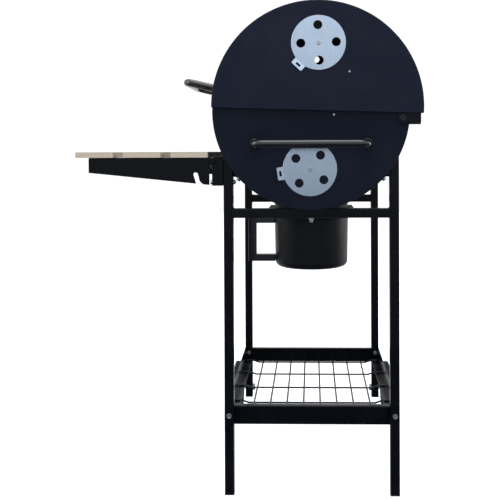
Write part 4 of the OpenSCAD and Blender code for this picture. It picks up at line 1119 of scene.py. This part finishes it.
slatPattern = {
    "edge": 2.2 * mm, "endEdge": 0.9 * mm, "warp": 0.5 * mm, "warpScale": 0.12, "cutsX": 16, "cutsY": 6,
    "early": (0.48, 0.405, 0.315), "late": (0.31, 0.235, 0.165), "grey": (0.34, 0.32, 0.30),
    "scorched": 1.8 * mm,            # how deep the painted shade reaches into the rear slat's rear side, standing in for the barrel's shadow
    "noPaintedShade": 1.0,               # a place past the whole grill, so no slat gets the painted shade
}
slats = {   # the pith line's place from the slat's middle, ring count a metre, and greying
    "front": ((0.3, 0.012, -0.085), 420.0, 0.30),
    "middle": ((-0.2, -0.06, 0.05), 360.0, 0.42),
    "rear": ((0.1, 0.035, -0.055), 450.0, 0.36),
}


# a sawn board: its edges eased, then a slight crook and cup so that no face is dead flat
def makeSlat(which, pith, rings, grey):
    d = slatPattern
    node = "slat_" + which
    low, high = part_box(node)
    board = block("slat" + which.capitalize(), low, high)
    pick("EDGE", lambda place, way: abs(way.x) > 0.99 and place.z > (low.z + high.z) / 2)
    bpy.ops.mesh.bevel(offset=d["edge"], segments=4, profile=0.5)
    pick("EDGE", lambda place, way: abs(way.x) > 0.99 and place.z < low.z + hair)
    bpy.ops.mesh.bevel(offset=d["edge"] / 2, segments=2, profile=0.5)
    pick("EDGE", lambda place, way: abs(abs(place.x - (low.x + high.x) / 2) - (high.x - low.x) / 2) < hair)
    bpy.ops.mesh.bevel(offset=d["endEdge"], segments=2, profile=0.5)
    for axis, cuts in ((xAxis, d["cutsX"]), (yAxis, d["cutsY"])):
        for cut in range(1, cuts):
            openAll()
            bpy.ops.mesh.bisect(plane_co=low + (high - low) * cut / cuts, plane_no=axis)
            close()
    clouds = bpy.data.textures.new("warp" + which, "CLOUDS")
    clouds.noise_scale = d["warpScale"]
    modify(board, "DISPLACE", texture=clouds, texture_coords="LOCAL", direction="Z", strength=d["warp"],
           mid_level=0.75)
    # the rear slat's rear side takes a painted shade for the barrel's shadow; the other slats start it past the grill
    raw = wood("rawPine" + which.capitalize(), d["early"], d["late"], d["grey"], middle(node) + Vector(pith), rings,
               grey, high.y - d["scorched"] if which == "rear" else d["noPaintedShade"])
    settle(board, raw, "shelf", "wood", node)


for which, (pith, rings, grey) in slats.items():
    makeSlat(which, pith, rings, grey)


foldedParts = {
    "armBend": 2.4 * mm, "armEdge": 0.35 * mm, "bracketBend": 2.0 * mm, "hingeBend": 1.2 * mm, "edge": 0.3 * mm,
}


# the arm's web and flange are one folded sheet: the long top corner is a bend, the rest is cut edge
def makeArm():
    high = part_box("shelf_arm_right")[1]
    arm = roundedCopy("shelf_arm_right", "shelfArmRight", 0)
    pick("EDGE", lambda place, way: abs(way.y) > 0.9 and place.z > high.z - hair and place.x > high.x - hair)
    bpy.ops.mesh.bevel(offset=foldedParts["armBend"], segments=5, profile=0.5)
    close()
    soften(arm, foldedParts["armEdge"], 2, 50)
    settlePair(arm, toLeft, framePaint, "shelf", "frame_black", "shelf_arm_right")


def makeBracket():
    low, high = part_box("shelf_bracket_right")
    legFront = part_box("leg_right_front")[0].y
    bracket = roundedCopy("shelf_bracket_right", "shelfBracketRight", 0)
    pick("EDGE", lambda place, way: abs(way.z) > 0.9 and place.x > high.x - hair
         and (place.y < low.y + hair or place.y > legFront - hair))
    bpy.ops.mesh.bevel(offset=foldedParts["bracketBend"], segments=4, profile=0.5)
    close()
    soften(bracket, foldedParts["edge"], 2, 50)
    settlePair(bracket, toLeft, framePaint, "cart", "frame_black", "shelf_bracket_right")


makeArm()
makeBracket()
dress("slat_screws", zincPlate)
print("front shelf made")


def makeHingeBracket():
    bracket = roundedCopy("hinge_bracket_right", "hingeBracketRight", 0)
    pick("EDGE", lambda place, way: abs(way.y) > 0.99)
    bpy.ops.mesh.bevel(offset=foldedParts["hingeBend"], segments=3, profile=0.5)
    close()
    soften(bracket, foldedParts["edge"], 2, 50)
    settlePair(bracket, toLeft, framePaint, "lid", "barrel_black", "hinge_bracket_right")


makeHingeBracket()


bucket = {
    "sheet": 1.5 * mm, "edge": 14 * mm, "taper": 2 * mm, "flange": 8.5 * mm, "swage": 1.2 * mm,
    "swageDown": 16 * mm,            # from the flange down to the swaged ring
    "lip": 5 * mm, "lipWidth": 36 * mm, "lipSheet": 2.4 * mm,   # the pull lip stands above the flange
}


# a drawn bucket: rounded bottom, a swaged ring under the mouth, and a rolled flange
def makeBucket():
    d = bucket
    low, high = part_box("ash_bucket")
    flangeRadius = (high.x - low.x) / 2
    mouth = flangeRadius - d["flange"]
    foot = mouth - d["taper"]
    lip = d["lip"]
    height = high.z - low.z - lip + d["sheet"]
    t, e = d["sheet"], d["edge"]

    def side(z):
        return foot + (mouth - foot) * (z - e) / (height - e)

    # a quarter turn of the bottom's edge, of radius r, through the given degrees
    def corner(r, degrees):
        return [(foot - e + r * math.sin(math.radians(a)), e - r * math.cos(math.radians(a))) for a in degrees]

    outside = [(0.006, 0.0), (foot - e - 22 * mm, 0.0), (foot - e - 20 * mm, 1.5 * mm),
               (foot - e - 8 * mm, 1.5 * mm), (foot - e - 6 * mm, 0.0), (foot - e, 0.0)]
    outside += corner(e, range(15, 91, 15))
    ring = height - d["swageDown"]
    outside += [(side(ring - 3 * mm), ring - 3 * mm), (side(ring) + d["swage"], ring - 1.5 * mm),
                (side(ring) + d["swage"], ring + 1.5 * mm), (side(ring), ring + 3 * mm)]
    outside += [(mouth, height - t - 1.5 * mm), (mouth + 1.5 * mm, height - t)]
    rim = [(flangeRadius - 0.7 * mm, height - t), (flangeRadius, height - t / 2), (flangeRadius - 0.7 * mm, height)]
    inside = [(mouth + 0.6 * mm, height), (mouth - t, height - 1.5 * mm), (foot - t, e)]
    inside += corner(e - t, range(75, -1, -15)) + [(0.006, t)]
    body = turned("ashBucket", (grillX, legLine, low.z), zAxis, outside + rim + inside, facets=128)
    lipLow = Vector((grillX - d["lipWidth"] / 2, low.y, high.z - lip))
    tab = block("lip", lipLow, lipLow + Vector((d["lipWidth"], d["lipSheet"], lip)))
    pick("EDGE", lambda place, way: abs(way.y) > 0.99 and place.z > high.z - hair)
    bpy.ops.mesh.bevel(offset=3 * mm, segments=5, profile=0.5)
    close()
    soften(tab, 0.4 * mm, 2, 50)
    root = block("lipRoot", lipLow + Vector((0, 0.5 * mm, -t + 0.4 * mm)),
                 lipLow + Vector((d["lipWidth"], 5 * mm, 0.2 * mm)))
    settle(joined("ashBucket", [body, tab, root]), bucketPaint, "ash_bucket", "bucket_black", "ash_bucket")


makeBucket()
settle(roundedCopy("bucket_handle", "bucketHandle", 1.8 * mm, 4, 50), handleEnamel, "ash_bucket",
       "bucket_black", "bucket_handle")
settle(roundedCopy("ash_neck", "ashNeck", 0.35 * mm, 2, 50), bowlPaint, "cart", "barrel_black", "ash_neck")
print("ash bucket made")


tyre = {"height": 15 * mm, "round": 5 * mm, "blocks": 48, "groove": 1.3 * mm}
axleCap = {"depth": 6 * mm, "bore": 5 * mm, "edge": 0.6 * mm, "skirt": 0.4}


# a solid tyre on its rim, with cross grooves between the tread blocks
def makeTyre(which, body):
    d = tyre
    node = "tyre_" + which
    low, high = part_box(node)
    mid, half, outer = (low + high) / 2, (high.y - low.y) / 2, (high.z - low.z) / 2
    inner = outer - d["height"]
    r = d["round"]
    profile = [(inner, -half + 2.9 * mm), (inner + 0.01 * mm, -half)]
    profile += [(inner + 5 * mm, -half), (inner + 5.6 * mm, -half + 0.6 * mm), (inner + 6.4 * mm, -half)]
    profile += [(outer - r + r * math.sin(math.radians(a)), -half + r - r * math.cos(math.radians(a)))
                for a in (15, 35, 55, 75, 90)]
    mirrored = [(radius, -y) for radius, y in reversed(profile)]
    rings = profile + [(outer, -1.2 * mm), (outer - 1.2 * mm, -0.6 * mm), (outer - 1.2 * mm, 0.6 * mm),
                       (outer, 1.2 * mm)] + mirrored
    tyreBody = turned("tyre" + which.capitalize(), mid, yAxis, rings, facets=d["blocks"] * 3, hoop=True)

    def inGroove(place, normal):
        across, up = place.x - mid.x, place.z - mid.z
        blockAt = math.atan2(up, across) / (2 * math.pi) * d["blocks"] + (0.5 if place.y > mid.y else 0)
        return (normal.dot(Vector((across, 0, up)).normalized()) > 0.75 and blockAt - math.floor(blockAt) < 0.34
                and math.hypot(across, up) > outer - 2 * mm and abs(place.y - mid.y) > 1 * mm)

    pick("FACE", inGroove)
    bpy.ops.mesh.inset(thickness=0.25 * mm, depth=-d["groove"], use_boundary=True)
    close()
    settle(tyreBody, tyreRubber, body, "tyre_rubber", node)


for which in ("front", "rear"):
    makeTyre(which, "wheel_" + which)
    settle(roundedCopy("wheel_hub_" + which, "wheelHub" + which.capitalize(), 0.7 * mm, 2, 40), hubPlastic,
           "wheel_" + which, "black_plastic", "wheel_hub_" + which)


# domed caps pressed on the axle's ends
def makeAxleCaps():
    c = axleCap
    low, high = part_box("axle_caps")
    mid, radius, skirt = (low + high) / 2, (high.x - low.x) / 2, c["depth"] * c["skirt"]
    rings = [(c["bore"], 0.0), (radius - c["edge"], 0.0), (radius, c["edge"]), (radius, skirt)]
    rings += [(radius * math.cos(math.radians(a)), skirt + (c["depth"] - skirt) * math.sin(math.radians(a)))
              for a in (20, 40, 60, 78)]
    rings += [(radius * 0.05, c["depth"])]
    caps = [turned("cap", (mid.x, y, mid.z), yAxis * side, rings, facets=40)
            for side, y in ((-1, low.y + c["depth"]), (1, high.y - c["depth"]))]
    settle(joined("axleCaps", caps), capPlastic, "cart", "black_plastic", "axle_caps")


makeAxleCaps()
dress("axle", zincPlate)
print("wheels made")


# inside the barrel the CAD's own shapes stay
for node, material in (("cooking_grate_right", grateSteel), ("cooking_grate_left", grateSteel),
                       ("charcoal_grate", coalSteel), ("warming_rack", chromeWire), ("rack_bail", chromeWire),
                       ("grate_ledges", framePaint)):
    dress(node, material)
print("grates dressed")


print("all pieces made")
